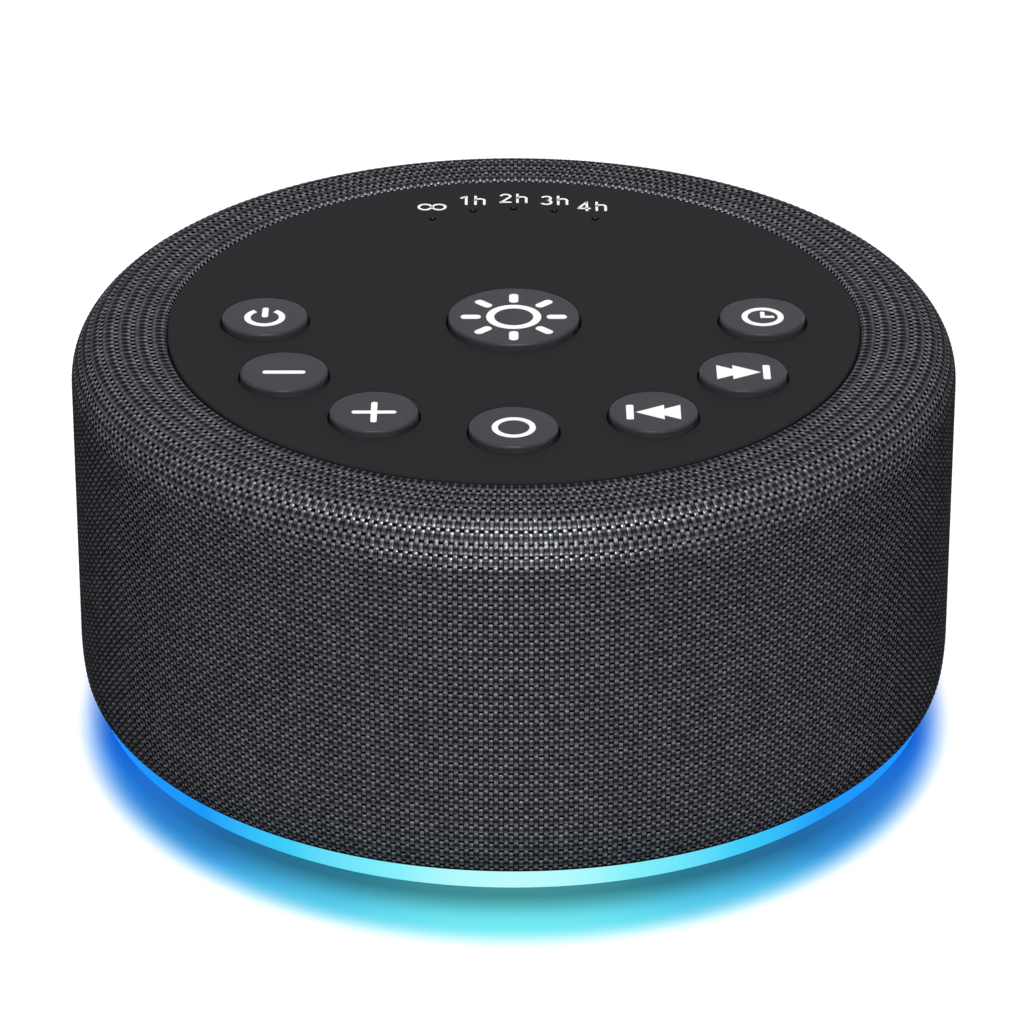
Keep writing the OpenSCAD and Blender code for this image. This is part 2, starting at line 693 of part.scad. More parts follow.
module base_cover() color("#1f1f22") difference() {
    union() {
        rod(base_r, foot_gap, base_z1);
        tube(rib_r + rib_t / 2, rib_r - rib_t / 2, base_z1 - 0.5, rib_z1);
        around(rib_r, light_screw_angles) rod(light_post_r, base_z1 - 0.5, light_board_z);
        around(post_ring_r, corners) rod(base_boss_r, base_z1 - 0.5, base_boss_z1);
        for (s = [-1, 1]) translate([s * power_post_x, power_post_y, 0])
            rod(power_post_r, base_z1 - 0.5, power_board_z);
    }
    around(post_ring_r, corners) {
        rod(foot_d / 2 + foot_fit, foot_gap - 1, foot_z1);
        rod(case_head_r + 0.2, foot_z1 - 0.5, base_head_z1);
        rod(case_hole_r, base_head_z1 - 0.5, base_boss_z1 + 1);
    }
    around(rib_r, light_screw_angles)
        rod(board_pilot_r, light_board_z + light_board_t - light_screw_l - 0.2, light_board_z + 1);
    for (s = [-1, 1]) translate([s * power_post_x, power_post_y, 0])
        rod(board_pilot_r, power_board_z + board_t - power_screw_l - 0.3, power_board_z + 1);
}

module base_screws() color("silver") around(post_ring_r, corners)
    translate([0, 0, base_head_z1]) mirror([0, 0, 1]) case_screw(base_screw_l);

module rubber_feet() color("#141415") around(post_ring_r, corners) rotate_extrude() polygon([
    [0, 0], [foot_d / 2 - 0.3, 0], [foot_d / 2, 0.3], [foot_d / 2, foot_z1], [0, foot_z1]
]);

// ---------------------------------------------------------------- power inlet

module power_board() color("#1f5a3a") difference() {
    translate([-power_board_w / 2, power_board_y0, power_board_z])
        cube([power_board_w, power_board_l, board_t]);
    for (s = [-1, 1]) translate([s * power_post_x, power_post_y, 0])
        rod(board_hole_r, power_board_z - 1, power_board_z + board_t + 1);
}

module power_board_screws() color("silver") for (s = [-1, 1])
    translate([s * power_post_x, power_post_y, power_board_z + board_t]) board_screw(power_screw_l);

// Metal shell of the socket, closed at its inner end
module power_socket() color("#c7c9cc") difference() {
    inlet_bar(socket_w, socket_h, socket_h / 2 - 0.01, socket_y1 - socket_l, socket_y1);
    inlet_bar(socket_w - 2 * socket_wall, socket_h - 2 * socket_wall, socket_h / 2 - socket_wall - 0.01,
        socket_y1 - socket_l + 0.8, socket_y1 + 1);
}

module socket_tongue() color("#101012")
    translate([-3.35, socket_y1 - socket_l + 0.8, inlet_z - 0.35]) cube([6.7, socket_l - 1.4, 0.7]);

// Frame round the inlet: flush with the fabric outside, flanged inside the shell
module inlet_bezel() color("#242427") intersection() {
    w = inlet_w + 2 * bezel_wall;
    h = inlet_h + 2 * bezel_wall;
    difference() {
        union() {
            inlet_bar(w, h, 2.4, inlet_y - bezel_back_t, body_r + 2);
            inlet_bar(w + 2 * bezel_flange, h + 2 * bezel_flange, 3.4, inlet_y - bezel_back_t, inlet_y);
        }
        inlet_bar(inlet_w, inlet_h, 1.6, inlet_y, body_r + 3);
        inlet_bar(socket_w + 2 * fit, socket_h + 2 * fit, socket_h / 2 + fit - 0.01,
            inlet_y - bezel_back_t - 1, inlet_y + 1);
    }
    rod(body_r, 0, body_h);
}

// ---------------------------------------------------------------- leads

// Routes as [radius, height] from the plug down to the far end, straight at both ends
lead_top = [[lead_r, main_board_z0 - header_h - plug_h], [lead_r, chassis_z1], [lead_r, chassis_z0 - 1]];

// Last stretch of a route, straight down on to a board
function landing(r, z) = [[r, z + 2], [r, z + 1], [r, z]];

module speaker_lead() color("#b3261e") lead(
    concat(lead_top, [[lead_r - 1.5, terminal_z + 1], [lead_r - 4.5, terminal_z],
        [terminal_r + 4.5, terminal_z], [terminal_r + 2.4, terminal_z]]),
    speaker_wires, speaker_lead_angle
);

module light_lead() color("#d8d8d2") lead(
    concat(lead_top, [[lead_r + 1, 20], [ring_led_r - 6, 15]],
        landing(ring_led_r - 0.5, light_board_z + light_board_t)),
    light_wires, light_lead_angle
);

module power_lead() color("#b3261e") lead(
    concat(lead_top, [[lead_r + 0.8, power_board_z + 7]],
        landing(power_board_y0 + 2.2, power_board_z + board_t)),
    power_wires, power_lead_angle
);

// ---------------------------------------------------------------- all parts

fabric_cover();
outer_shell();
control_panel();
power_key();
volume_down_key();
volume_up_key();
mode_key();
previous_key();
next_key();
timer_key();
light_key();
power_switch_plunger();
volume_down_switch_plunger();
volume_up_switch_plunger();
mode_switch_plunger();
previous_switch_plunger();
next_switch_plunger();
timer_switch_plunger();
light_switch_plunger();
switch_bodies();
main_board();
board_screws();
board_chips();
board_capacitors();
board_headers();
lead_plugs();
indicator_light_guide();
indicator_leds();
speaker_chassis();
chassis_screws();
speaker_gasket();
speaker_frame();
speaker_screws();
speaker_terminals();
speaker_magnet();
speaker_top_plate();
speaker_back_plate();
voice_coil();
speaker_spider();
speaker_cone();
speaker_dust_cap();
speaker_surround();
light_ring();
light_board();
ring_leds();
light_board_screws();
base_cover();
base_screws();
rubber_feet();
power_board();
power_board_screws();
power_socket();
socket_tongue();
inlet_bezel();
speaker_lead();
light_lead();
power_lead();
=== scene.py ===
"""White noise sound machine: woven cover, key panel with printed keys, lit foot ring, power inlet.

Metres, +Z up, front towards -Y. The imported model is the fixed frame. A new piece stands for
one of its nodes, or is printed or set on one. Sizes are written in millimetres times MM, and
the marks are drawn in plain millimetres.
"""

import json
import math

import bmesh
import bpy
from mathutils import Matrix, Vector

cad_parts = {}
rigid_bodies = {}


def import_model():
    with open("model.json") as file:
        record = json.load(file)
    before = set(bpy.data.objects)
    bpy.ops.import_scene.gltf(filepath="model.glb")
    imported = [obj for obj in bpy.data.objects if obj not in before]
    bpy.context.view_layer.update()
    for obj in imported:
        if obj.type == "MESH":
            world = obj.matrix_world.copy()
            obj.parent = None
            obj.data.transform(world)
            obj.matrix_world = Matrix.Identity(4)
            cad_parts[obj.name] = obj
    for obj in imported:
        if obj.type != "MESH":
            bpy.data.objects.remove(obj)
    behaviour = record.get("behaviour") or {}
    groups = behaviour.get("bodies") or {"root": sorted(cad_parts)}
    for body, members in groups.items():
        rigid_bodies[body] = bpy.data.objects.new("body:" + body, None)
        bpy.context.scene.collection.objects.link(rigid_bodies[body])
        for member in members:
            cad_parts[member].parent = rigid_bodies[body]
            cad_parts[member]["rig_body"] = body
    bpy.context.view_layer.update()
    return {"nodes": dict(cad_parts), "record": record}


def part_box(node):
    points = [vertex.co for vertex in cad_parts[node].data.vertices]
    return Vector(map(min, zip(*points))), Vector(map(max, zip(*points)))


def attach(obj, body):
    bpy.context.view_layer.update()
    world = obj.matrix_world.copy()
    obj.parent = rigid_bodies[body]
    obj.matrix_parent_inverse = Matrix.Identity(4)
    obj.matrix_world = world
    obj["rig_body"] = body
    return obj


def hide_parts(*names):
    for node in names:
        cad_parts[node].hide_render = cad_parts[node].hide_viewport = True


MM = 0.001
# vertices closer than this are one
WELD = 0.001 * MM

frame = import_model()
nodes = frame["nodes"]

# ---------------------------------------------------------------- sizes, from the frame

BODY_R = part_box("fabric_cover")[1].x
DECK_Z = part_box("fabric_cover")[1].z
HEM_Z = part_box("fabric_cover")[0].z
PANEL_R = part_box("control_panel")[1].x
FOOT_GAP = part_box("light_ring")[0].z

# cover: rounded top edge, cloth, lean of the side, and the hem that draws in
EDGE_R = 5.5 * MM
COVER_T = 0.8 * MM
FLARE = 0.3 * MM
HEM_DRAW = 0.6 * MM
HEM_H = 5 * MM
# cover: where it turns down beside the panel, and how deep
TUCK_R = PANEL_R + 0.1 * MM
SEAT_Z = DECK_Z - 2.2 * MM
# keys: flange under the panel, rounded rim and stem
KEY_FLANGE = 0.8 * MM
KEY_FLANGE_H = 1 * MM
KEY_RIM = 0.34 * MM
KEY_STEM_R = 1.5 * MM
KEY_STEM_H = 1.3 * MM
# marks: how far the ink stands proud, and how far in front of a key's middle it sits
INK = 0.03 * MM
MARK_DROP = 0.3 * MM

KEYS = ["power", "volume_down", "volume_up", "mode", "previous", "next", "timer", "light"]

# ---------------------------------------------------------------- small tools


def linear(colour):
    """The linear colour of an sRGB hex value, with alpha."""
    channels = [int(colour[k : k + 2], 16) / 255 for k in (1, 3, 5)]
    return [c / 12.92 if c <= 0.04045 else ((c + 0.055) / 1.055) ** 2.4 for c in channels] + [1]


def add(tree, kind, inputs=None, out=0, stops=(), **settings):
    """Adds a shader node with its settings, values and links, and gives back one of its outputs."""
    node = tree.nodes.new("ShaderNode" + kind)
    for name, value in settings.items():
        setattr(node, name, value)
    for socket, value in (inputs or {}).items():
        if isinstance(value, bpy.types.NodeSocket):
            tree.links.new(value, node.inputs[socket])
        else:
            node.inputs[socket].default_value = value
    for k, (place, colour) in enumerate(stops):
        ramp = node.color_ramp.elements
        stop = ramp[k] if k < len(ramp) else ramp.new(place)
        stop.position = place
        stop.color = linear(colour)
    return node.outputs[out] if node.outputs else node


def material(name, build):
    """A material whose surface is the shader that build(tree) gives back."""
    made = bpy.data.materials.new(name)
    made.use_nodes = True
    made.node_tree.nodes.clear()
    add(made.node_tree, "OutputMaterial", {"Surface": build(made.node_tree)})
    return made


def arc(r, z, radius_r, radius_z, start, end, steps):
    """Points of an arc in the turned section, from start to end in degrees."""
    angles = [math.radians(start + (end - start) * k / steps) for k in range(steps + 1)]
    return [Vector((r + radius_r * math.cos(a), z + radius_z * math.sin(a))) for a in angles]


def spin_section(bm, verts, steps):
    """Turns a closed loop of vertices once round Z, and closes its seam and its poles."""
    edges = [bm.edges.new(pair) for pair in zip(verts, verts[1:] + verts[:1])]
    spun = {"cent": (0, 0, 0), "axis": (0, 0, 1), "angle": math.tau, "steps": steps}
    bmesh.ops.spin(bm, geom=verts + edges, use_merge=True, **spun)
    bmesh.ops.remove_doubles(bm, verts=bm.verts, dist=WELD)
    loose = [e for e in bm.edges if not e.link_faces]
    bmesh.ops.delete(bm, geom=loose, context="EDGES")
    bmesh.ops.recalc_face_normals(bm, faces=bm.faces)


def turned(outline, steps):
    """A bmesh turned round Z from a closed section of (radius, height) points."""
    bm = bmesh.new()
    spin_section(bm, [bm.verts.new((p[0], 0, p[1])) for p in outline], steps)
    return bm


def rounded(bm, geom, width, segments, **settings):
    """Rounds edges, or the corners of a flat shape."""
    settings = {"affect": "EDGES", "profile": 0.5, "material": -1, **settings}
    bmesh.ops.bevel(bm, geom=geom, offset=width, segments=segments, **settings)


def mesh_from(bm, name):
    """Writes a finished bmesh to a mesh."""
    mesh = bpy.data.meshes.new(name)
    bm.to_mesh(mesh)
    bm.free()
    return mesh


def in_scene(name, data):
    """A new object in the scene."""
    made = bpy.data.objects.new(name, data)
    bpy.context.scene.collection.objects.link(made)
    return made


def piece(name, bm, body, slot, stands_for=(), sharp=35):
    """Writes a finished bmesh to an object that rides on a body and takes its finish from a slot.

    Edges where the surface turns by the sharp angle or more, in degrees, stay hard.
    """
    for face in bm.faces:
        face.smooth = True
    for edge in bm.edges:
        edge.smooth = edge.is_manifold and edge.calc_face_angle() < math.radians(sharp)
    made = in_scene(name, mesh_from(bm, name))
    made.data.materials.append(FINISHES[slot])
    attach(made, body)
    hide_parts(*stands_for)
    return made


def flat_shading(made):
    """Keeps broad faces flat beside their rounded edges."""
    weighted = made.modifiers.new("Flat faces", "WEIGHTED_NORMAL")
    weighted.keep_sharp = True


def softened(node, name, slot, width):
    """A copy of a rigid CAD node with its sharp outer edges rounded. It stands for the node."""
    bm = bmesh.new()
    bm.from_mesh(nodes[node].data)
    bmesh.ops.remove_doubles(bm, verts=bm.verts, dist=2 * WELD)
    straight = {"verts": bm.verts, "edges": bm.edges}
    bmesh.ops.dissolve_limit(bm, angle_limit=math.radians(1), **straight)
    edges = [e for e in bm.edges if e.is_manifold and e.is_convex]
    edges = [e for e in edges if e.calc_face_angle() > math.radians(40)]
    rounded(bm, edges, width, 2, clamp_overlap=True)
    flat_shading(piece(name, bm, nodes[node]["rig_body"], slot, [node]))


# ---------------------------------------------------------------- materials: cover

# painted light and shade on an upright yarn down one weave, from its crest or gap to the next:
# every second column has a long float, with painted highlights at its ends, under a black gap of
# painted shade, the others a short float with a painted highlight
LONG_FLOAT_SHADING = [
    (0.0, "#050506"),
    (0.09, "#08080a"),
    (0.22, "#929399"),
    (0.38, "#525358"),
    (0.62, "#4a4b50"),
    (0.74, "#76777d"),
    (0.9, "#18181b"),
    (1.0, "#050506"),
]
SHORT_FLOAT_SHADING = [
    (0.0, "#8b8c93"),
    (0.12, "#606166"),
    (0.26, "#414246"),
    (0.42, "#161618"),
    (0.56, "#2f3033"),
    (0.74, "#595a5f"),
    (0.84, "#4d4e52"),
    (1.0, "#8b8c93"),
]
# the level yarn's own grey, between black painted shade
LEVEL_YARN_SHADING = [(0.66, "#060607"), (0.76, "#4c4d51"), (0.86, "#060607")]

# how two colours are joined: by a share, or one times the other
MIXED = {"out": 2, "data_type": "RGBA"}
TINTED = {**MIXED, "blend_type": "MULTIPLY"}


def from_middle(tree, share):
    """0 in the middle of a cell, 1 at its ends."""
    away = add(tree, "Math", {0: share, 1: 0.5}, operation="SUBTRACT")
    away = add(tree, "Math", {0: away}, operation="ABSOLUTE")
    return add(tree, "Math", {0: away, 1: 2.0}, operation="MULTIPLY")


def woven_polyester(tree):
    """Plain-woven polyester: upright yarns crest in a checkerboard, the level yarn shows between them.

    The thread map counts columns round the body (u) and rows up it (v). Columns are 0.56 mm
    apart, rows 0.565 mm on the side and 1 mm on the deck. The colour holds painted light and
    shade: painted highlights on the crests, painted shade in the grooves and gaps.
    """
    u = add(tree, "SeparateXYZ", {"Vector": add(tree, "UVMap", uv_map="threads")})
    v = u.node.outputs["Y"]
    column = add(tree, "Math", {0: u}, operation="FLOOR")
    short = add(tree, "Math", {0: column, 1: 2.0}, operation="MODULO")
    in_column = add(tree, "Math", {0: u}, operation="FRACT")
    weave = add(tree, "Math", {0: v, 1: 0.5, 2: 0.25}, operation="MULTIPLY_ADD")
    down = add(tree, "Math", {0: weave}, operation="FRACT")
    down = add(tree, "Math", {0: 1.0, 1: down}, operation="SUBTRACT")
    # 1 at the grooves beside a column, and 1 at a long float's gap
    aside = from_middle(tree, in_column)
    off = from_middle(tree, down)

    # each float is a little lighter or darker at random, and its filaments' uneven catch of the light
    # is painted into the colour as glints: they are drawn about four to a yarn, coarser than real ones, so
    # that they show
    turn = add(tree, "Math", {0: short, 1: 0.5, 2: weave}, operation="MULTIPLY_ADD")
    turn = add(tree, "Math", {0: turn}, operation="FLOOR")
    chance = add(tree, "TexWhiteNoise", {"Vector": add(tree, "CombineXYZ", {"X": column, "Y": turn})})
    strand = add(tree, "CombineXYZ", {"X": u, "Y": v, "Z": chance})
    strand = add(tree, "VectorMath", {0: strand, 1: (4.0, 2.2, 9.0)}, operation="MULTIPLY")
    filament = add(tree, "TexNoise", {"Vector": strand, "Scale": 1.0, "Detail": 3.0})
    tone_and_glints = add(tree, "MapRange", {"Value": filament, 1: 0.25, 2: 0.75, 3: 0.3, 4: 1.7})
    lighter = add(tree, "MapRange", {"Value": chance, 3: 0.72, 4: 1.12})
    tone_and_glints = add(tree, "Math", {0: lighter, 1: tone_and_glints}, operation="MULTIPLY")

    long_float_shading = add(tree, "ValToRGB", {"Fac": down}, stops=LONG_FLOAT_SHADING)
    short_float_shading = add(tree, "ValToRGB", {"Fac": down}, stops=SHORT_FLOAT_SHADING)
    upright = add(tree, "Mix", {0: short, 6: long_float_shading, 7: short_float_shading}, **MIXED)
    # painted shade in the grooves beside each column
    groove_shade = {"Value": aside, 1: 0.5, 2: 1.0, 3: 1.0, 4: 0.2}
    groove_shade = add(tree, "MapRange", groove_shade, interpolation_type="SMOOTHSTEP")
    upright = add(tree, "Mix", {0: 1.0, 6: upright, 7: groove_shade}, **TINTED)
    level = add(tree, "ValToRGB", {"Fac": down}, stops=LEVEL_YARN_SHADING)
    colour = add(tree, "Mix", {0: 1.0, 6: upright, 7: level}, **MIXED, blend_type="LIGHTEN")
    colour = add(tree, "Mix", {0: 1.0, 6: colour, 7: tone_and_glints}, **TINTED)

    long_crest = add(tree, "MapRange", {"Value": off, 1: 0.98, 2: 0.6}, interpolation_type="SMOOTHSTEP")
    short_crest = add(tree, "MapRange", {"Value": off, 1: 0.45, 2: 0.95}, interpolation_type="SMOOTHSTEP")
    crest = add(tree, "Mix", {"Factor": short, 2: long_crest, 3: short_crest})
    arch = add(tree, "Math", {0: aside, 1: aside}, operation="MULTIPLY")
    arch = add(tree, "Math", {0: arch, 1: -0.85, 2: 1.0}, operation="MULTIPLY_ADD")
    height = add(tree, "Math", {0: crest, 1: arch}, operation="MULTIPLY")
    height = add(tree, "Math", {0: filament, 1: 0.25, 2: height}, operation="MULTIPLY_ADD")
    bump = add(tree, "Bump", {"Strength": 1.0, "Distance": 0.06 * MM, "Height": height})
    # a small metallic share keeps the yarn's gloss on its crests and out of the gaps, and
    # its dark tint takes the gloss away at a grazing angle, where yarns hide one another
    inputs = {"Base Color": colour, "Roughness": 0.3, "Normal": bump, "Metallic": 0.22}
    gloss = {"Specular IOR Level": 0.0, "Specular Tint": linear("#202020")}
    return add(tree, "BsdfPrincipled", {**inputs, **gloss})


# ---------------------------------------------------------------- materials: plastics


def moulded(colour, roughness, specular=0.5, grain=0.25, depth=0.012, mottle=0.06):
    """Moulded plastic or rubber: even colour, a grain that dulls it, a faint flow cloud 9 mm across.

    A spark-eroded grain is near 0.1 mm wide. It is drawn a few times coarser, so that it shows.
    """

    def build(tree):
        place = add(tree, "TexCoord", out="Object")
        cloud = add(tree, "TexNoise", {"Vector": place, "Scale": 1 / (9 * MM), "Detail": 3.0})
        shade = add(tree, "MapRange", {"Value": cloud, 1: 0.3, 2: 0.7, 3: 1 - mottle, 4: 1 + mottle})
        tone = add(tree, "Mix", {0: 1.0, 6: linear(colour), 7: shade}, **TINTED)
        fine = add(tree, "TexNoise", {"Vector": place, "Scale": 1 / (grain * MM), "Detail": 2.0})
        dull = add(tree, "MapRange", {"Value": fine, 3: roughness - 0.06, 4: roughness + 0.06})
        bump = add(tree, "Bump", {"Strength": 1.0, "Distance": depth * MM, "Height": fine})
        inputs = {"Base Color": tone, "Roughness": dull, "Normal": bump}
        return add(tree, "BsdfPrincipled", {**inputs, "Specular IOR Level": specular, "IOR": 1.5})

    return build


def greys_by_facing(top, side):
    """Key cap plastic: one grey for the top and rim, one for the side wall, picked by which way the face
    points; the side wall's grey is painted shade, now about equal to the top's.
    """

    def build(tree):
        place = add(tree, "TexCoord", out="Object")
        rise = add(tree, "SeparateXYZ", {"Vector": place.node.outputs["Normal"]}, out="Z")
        upper = add(tree, "MapRange", {"Value": rise, 1: 0.25, 2: 0.75}, interpolation_type="SMOOTHSTEP")
        tone = add(tree, "Mix", {0: upper, 6: linear(side), 7: linear(top)}, **MIXED)
        fine = add(tree, "TexNoise", {"Vector": place, "Scale": 1 / (0.25 * MM), "Detail": 2.0})
        dull = add(tree, "MapRange", {"Value": fine, 3: 0.26, 4: 0.34})
        bump = add(tree, "Bump", {"Strength": 1.0, "Distance": 0.01 * MM, "Height": fine})
        inputs = {"Base Color": tone, "Roughness": dull, "Normal": bump, "Specular IOR Level": 0.05}
        return add(tree, "BsdfPrincipled", inputs)

    return build


def plated(colour, roughness, scale=(1.0, 1.0, 1.0)):
    """Plated metal: fine marks 0.3 mm apart, coarser than real ones so that they show, and a patchy gloss.

    A scale under 1 draws the marks out along its axis, and one over 1 presses them together.
    """

    def build(tree):
        place = add(tree, "TexCoord", out="Object")
        place = add(tree, "Mapping", {"Vector": place, "Scale": scale})
        marks = add(tree, "TexNoise", {"Vector": place, "Scale": 1 / (0.3 * MM), "Detail": 3.0})
        shade = add(tree, "MapRange", {"Value": marks, 1: 0.3, 2: 0.7, 3: 0.88, 4: 1.08})
        tone = add(tree, "Mix", {0: 1.0, 6: linear(colour), 7: shade}, **TINTED)
        dull = add(tree, "MapRange", {"Value": marks, 3: roughness - 0.1, 4: roughness + 0.1})
        bump = add(tree, "Bump", {"Strength": 1.0, "Distance": 0.004 * MM, "Height": marks})
        inputs = {"Base Color": tone, "Roughness": dull, "Normal": bump, "Metallic": 1.0}
        return add(tree, "BsdfPrincipled", inputs)

    return build


def circuit_board(mask, track):
    """Glass-fibre board: solder mask over tracks 0.8 mm apart, with the woven glass just showing."""

    def build(tree):
        place = add(tree, "TexCoord", out="Object")
        lines = {"Scale": 1 / (0.8 * MM), "Mortar Size": 0.12, "Brick Width": 6.0, "Row Height": 1.0}
        tones = {"Color1": linear(mask), "Color2": linear(mask), "Mortar": linear(track)}
        tracks = add(tree, "TexBrick", {"Vector": place, **lines, **tones})
        glass = add(tree, "TexNoise", {"Vector": place, "Scale": 1 / (0.5 * MM), "Detail": 1.0})
        bump = add(tree, "Bump", {"Strength": 0.5, "Distance": 0.02 * MM, "Height": glass})
        return add(tree, "BsdfPrincipled", {"Base Color": tracks, "Roughness": 0.35, "Normal": bump})

    return build


# a wave texture turns through this many radians in a metre
WAVE_TURN = 20


def wound(first, second, pitch, roughness, metallic=0.0, axis="Z"):
    """Bands one pitch apart along an axis: wire turns on a coil or the print on a sleeve."""

    def build(tree):
        place = add(tree, "TexCoord", out="Object")
        bands = {"Vector": place, "Scale": math.tau / (pitch * MM * WAVE_TURN)}
        turns = add(tree, "TexWave", bands, out="Fac", bands_direction=axis)
        tone = add(tree, "Mix", {0: turns, 6: linear(first), 7: linear(second)}, **MIXED)
        bump = add(tree, "Bump", {"Strength": 1.0, "Distance": 0.1 * MM, "Height": turns})
        inputs = {"Base Color": tone, "Roughness": roughness, "Normal": bump, "Metallic": metallic}
        return add(tree, "BsdfPrincipled", inputs)

    return build


def fibrous(colour, roughness, fibre=0.4, depth=0.05):
    """Pressed pulp, foam or impregnated cloth: short fibres that scatter the light."""

    def build(tree):
        place = add(tree, "TexCoord", out="Object")
        fibres = {"Vector": place, "Scale": 1 / (fibre * MM), "Detail": 4.0, "Distortion": 1.5}
        fibres = add(tree, "TexNoise", fibres)
        shade = add(tree, "MapRange", {"Value": fibres, 1: 0.3, 2: 0.7, 3: 0.75, 4: 1.2})
        tone = add(tree, "Mix", {0: 1.0, 6: linear(colour), 7: shade}, **TINTED)
        bump = add(tree, "Bump", {"Strength": 1.0, "Distance": depth * MM, "Height": fibres})
        return add(tree, "BsdfPrincipled", {"Base Color": tone, "Roughness": roughness, "Normal": bump})

    return build


# colours from back (0) to front (1), by the cosine of the angle
RING_STOPS = [
    (0.5, "#1068f0"),
    (0.75, "#1690ff"),
    (0.854, "#1496fa"),
    (0.933, "#3cd0fa"),
    (0.983, "#84f3fc"),
    (1.0, "#bffefe"),
]
# the ring's light as painted on the floor, also from back to front
FLOOR_GLOW_PAINT = [
    (0.5, "#1068dc"),
    (0.67, "#1069dd"),
    (0.787, "#2d87e3"),
    (0.883, "#399de4"),
    (0.97, "#58cdec"),
    (1.0, "#72ebf4"),
]


def towards_front(tree, place):
    """1 in front of the middle, 0 behind it, by the cosine of the angle round Z."""
    x = add(tree, "SeparateXYZ", {"Vector": place})
    level = add(tree, "CombineXYZ", {"X": x, "Y": x.node.outputs["Y"]})
    outward = add(tree, "VectorMath", {0: level}, operation="NORMALIZE")
    y = add(tree, "SeparateXYZ", {"Vector": outward}, out="Y")
    return add(tree, "MapRange", {"Value": y, 1: 1.0, 2: -1.0})


def lit_polycarbonate(tree):
    """Milky polycarbonate lit from inside: it glows evenly, cyan in front and blue at the sides."""
    share = towards_front(tree, add(tree, "TexCoord", out="Object"))
    glow = add(tree, "ValToRGB", {"Fac": share}, stops=RING_STOPS)
    inputs = {"Base Color": linear("#20404a"), "Roughness": 0.35, "IOR": 1.58, "Specular IOR Level": 0.2}
    return add(tree, "BsdfPrincipled", {**inputs, "Emission Color": glow, "Emission Strength": 0.95})


FINISHES = {
    # charcoal cloth: pale crests with painted highlights in a checkerboard, black gaps of painted shade
    "cover_fabric": material("Woven polyester", woven_polyester),
    # black, dulled by a coarse grain
    "case_plastic": material(
        "ABS, spark-eroded black", moulded("#1b1b1e", 0.6, specular=0.3, grain=0.35, depth=0.03)
    ),
    # an even, almost glossless charcoal, so that the keys and marks stand out
    "panel_plastic": material(
        "ABS, soft matte charcoal", moulded("#28282a", 0.7, specular=0.02, mottle=0.01)
    ),
    # a lighter grey than the panel, with a fine bright line on the rim
    "key_plastic": material("ABS keys, greys by facing", greys_by_facing("#3b3a3f", "#3d3d41")),
    # flat bright white
    "legend_white": material(
        "White pad-printing ink", moulded("#fefefe", 0.5, grain=0.2, depth=0.004, mottle=0.005)
    ),
    # smoked, nearly black until a lamp shines in it; in the lamp holes the near-black is also painted shade
    "light_guide": material(
        "Smoked acrylic", moulded("#050506", 0.4, specular=0.04, grain=2.0, depth=0.002)
    ),
    # a soft glow with no lamps to be seen in it
    "ring_glow": material("Lit milky polycarbonate", lit_polycarbonate),
    # dull black with a rough skin
    "foot_rubber": material("Moulded rubber", moulded("#141415", 0.75, grain=0.5, depth=0.03)),
    # bright metal with marks along the draw
    "socket_metal": material("Nickel-plated steel", plated("#c7c9cc", 0.2, scale=(1.0, 0.2, 1.0))),
    # boards: coloured lacquer with the tracks just showing
    "board_green": material("FR4 with green mask", circuit_board("#1f5a3a", "#2c7048")),
    "board_white": material("FR4 with white mask", circuit_board("#e3e5e0", "#d2d4ce")),
    # mouldings inside: soft black chips and headers, cream plugs and plungers, yellow lamps
    "connector_black": material("Glass-filled nylon, black", moulded("#1a1a1c", 0.5)),
    "connector_white": material("Nylon, natural", moulded("#f1ecdf", 0.45)),
    "plunger_plastic": material("Acetal, off-white", moulded("#e8e4d8", 0.4)),
    "lamp_body": material("Lamp with phosphor", moulded("#f4e9b0", 0.3)),
    # a dark blue sleeve with broad faint bands of print
    "capacitor_sleeve": material("PVC capacitor sleeve", wound("#2b3550", "#1f273c", 7.54, 0.35, axis="X")),
    # glossy copper with darker lines, drawn several turns of wire apart so that they show
    "coil_copper": material("Enamelled copper wire", wound("#b87333", "#7a4418", 1.885, 0.3, metallic=1.0)),
    # metals: pale zinc, turned steel with fine level lines, warm brass, and an even dark coat
    "screw_steel": material("Zinc-plated steel", plated("#b9bcc0", 0.3)),
    "plate_steel": material("Turned steel, zinc plated", plated("#8d9094", 0.35, scale=(1.0, 1.0, 6.0))),
    "terminal_brass": material("Tinned brass", plated("#b08d4a", 0.35)),
    "frame_steel": material("Pressed steel, e-coated", moulded("#3a3c40", 0.4, specular=0.6)),
    # dull parts that scatter the light: grey ferrite, golden cloth, nearly black pulp and foam
    "magnet_ferrite": material("Sintered ferrite", fibrous("#45474b", 0.6, 0.3, 0.03)),
    "spider_cloth": material("Impregnated cloth", fibrous("#c9a24a", 0.8, 0.6, 0.1)),
    "cone_paper": material("Pressed paper pulp", fibrous("#26262a", 0.85)),
    "foam": material("Closed-cell foam", fibrous("#18181a", 0.9, 0.5, 0.08)),
    # smooth black rubber with a soft sheen, and wires in plain red and white
    "surround_rubber": material("Butyl rubber", moulded("#1b1b1d", 0.45)),
    "lead_red": material("PVC-insulated wire, red", moulded("#b3261e", 0.4)),
    "lead_white": material("PVC-insulated wire, white", moulded("#d8d8d2", 0.4)),
}

for part in frame["record"]["subparts"]:
    shown = nodes[part["node"]].data.materials
    shown.clear()
    shown.append(FINISHES[part["material_slot"]])

# ---------------------------------------------------------------- woven cover

# threads round the body
THREADS = 588
# the baked layout: strips with the face, how much of its strip each fills, and the back above them
STRIPS = 3
STRIP_H = 0.32
STRIP_FILL = 0.996
BACK_FOOT = 0.97
BACK_H = 0.02
# distance from row to row, and how many rows at the tuck's foot stay flat
ROW_SIDE = 0.565 * MM
ROW_DECK = 1.0 * MM
ROW_TUCK = 0.8 * MM
BARE_ROWS = 2
# radius of the fold beside the panel
FOLD_R = 0.18 * MM
# the lattice lies this far under the nominal face, and a crest this far above the lattice
SINK = 0.04 * MM
CREST = 0.08 * MM


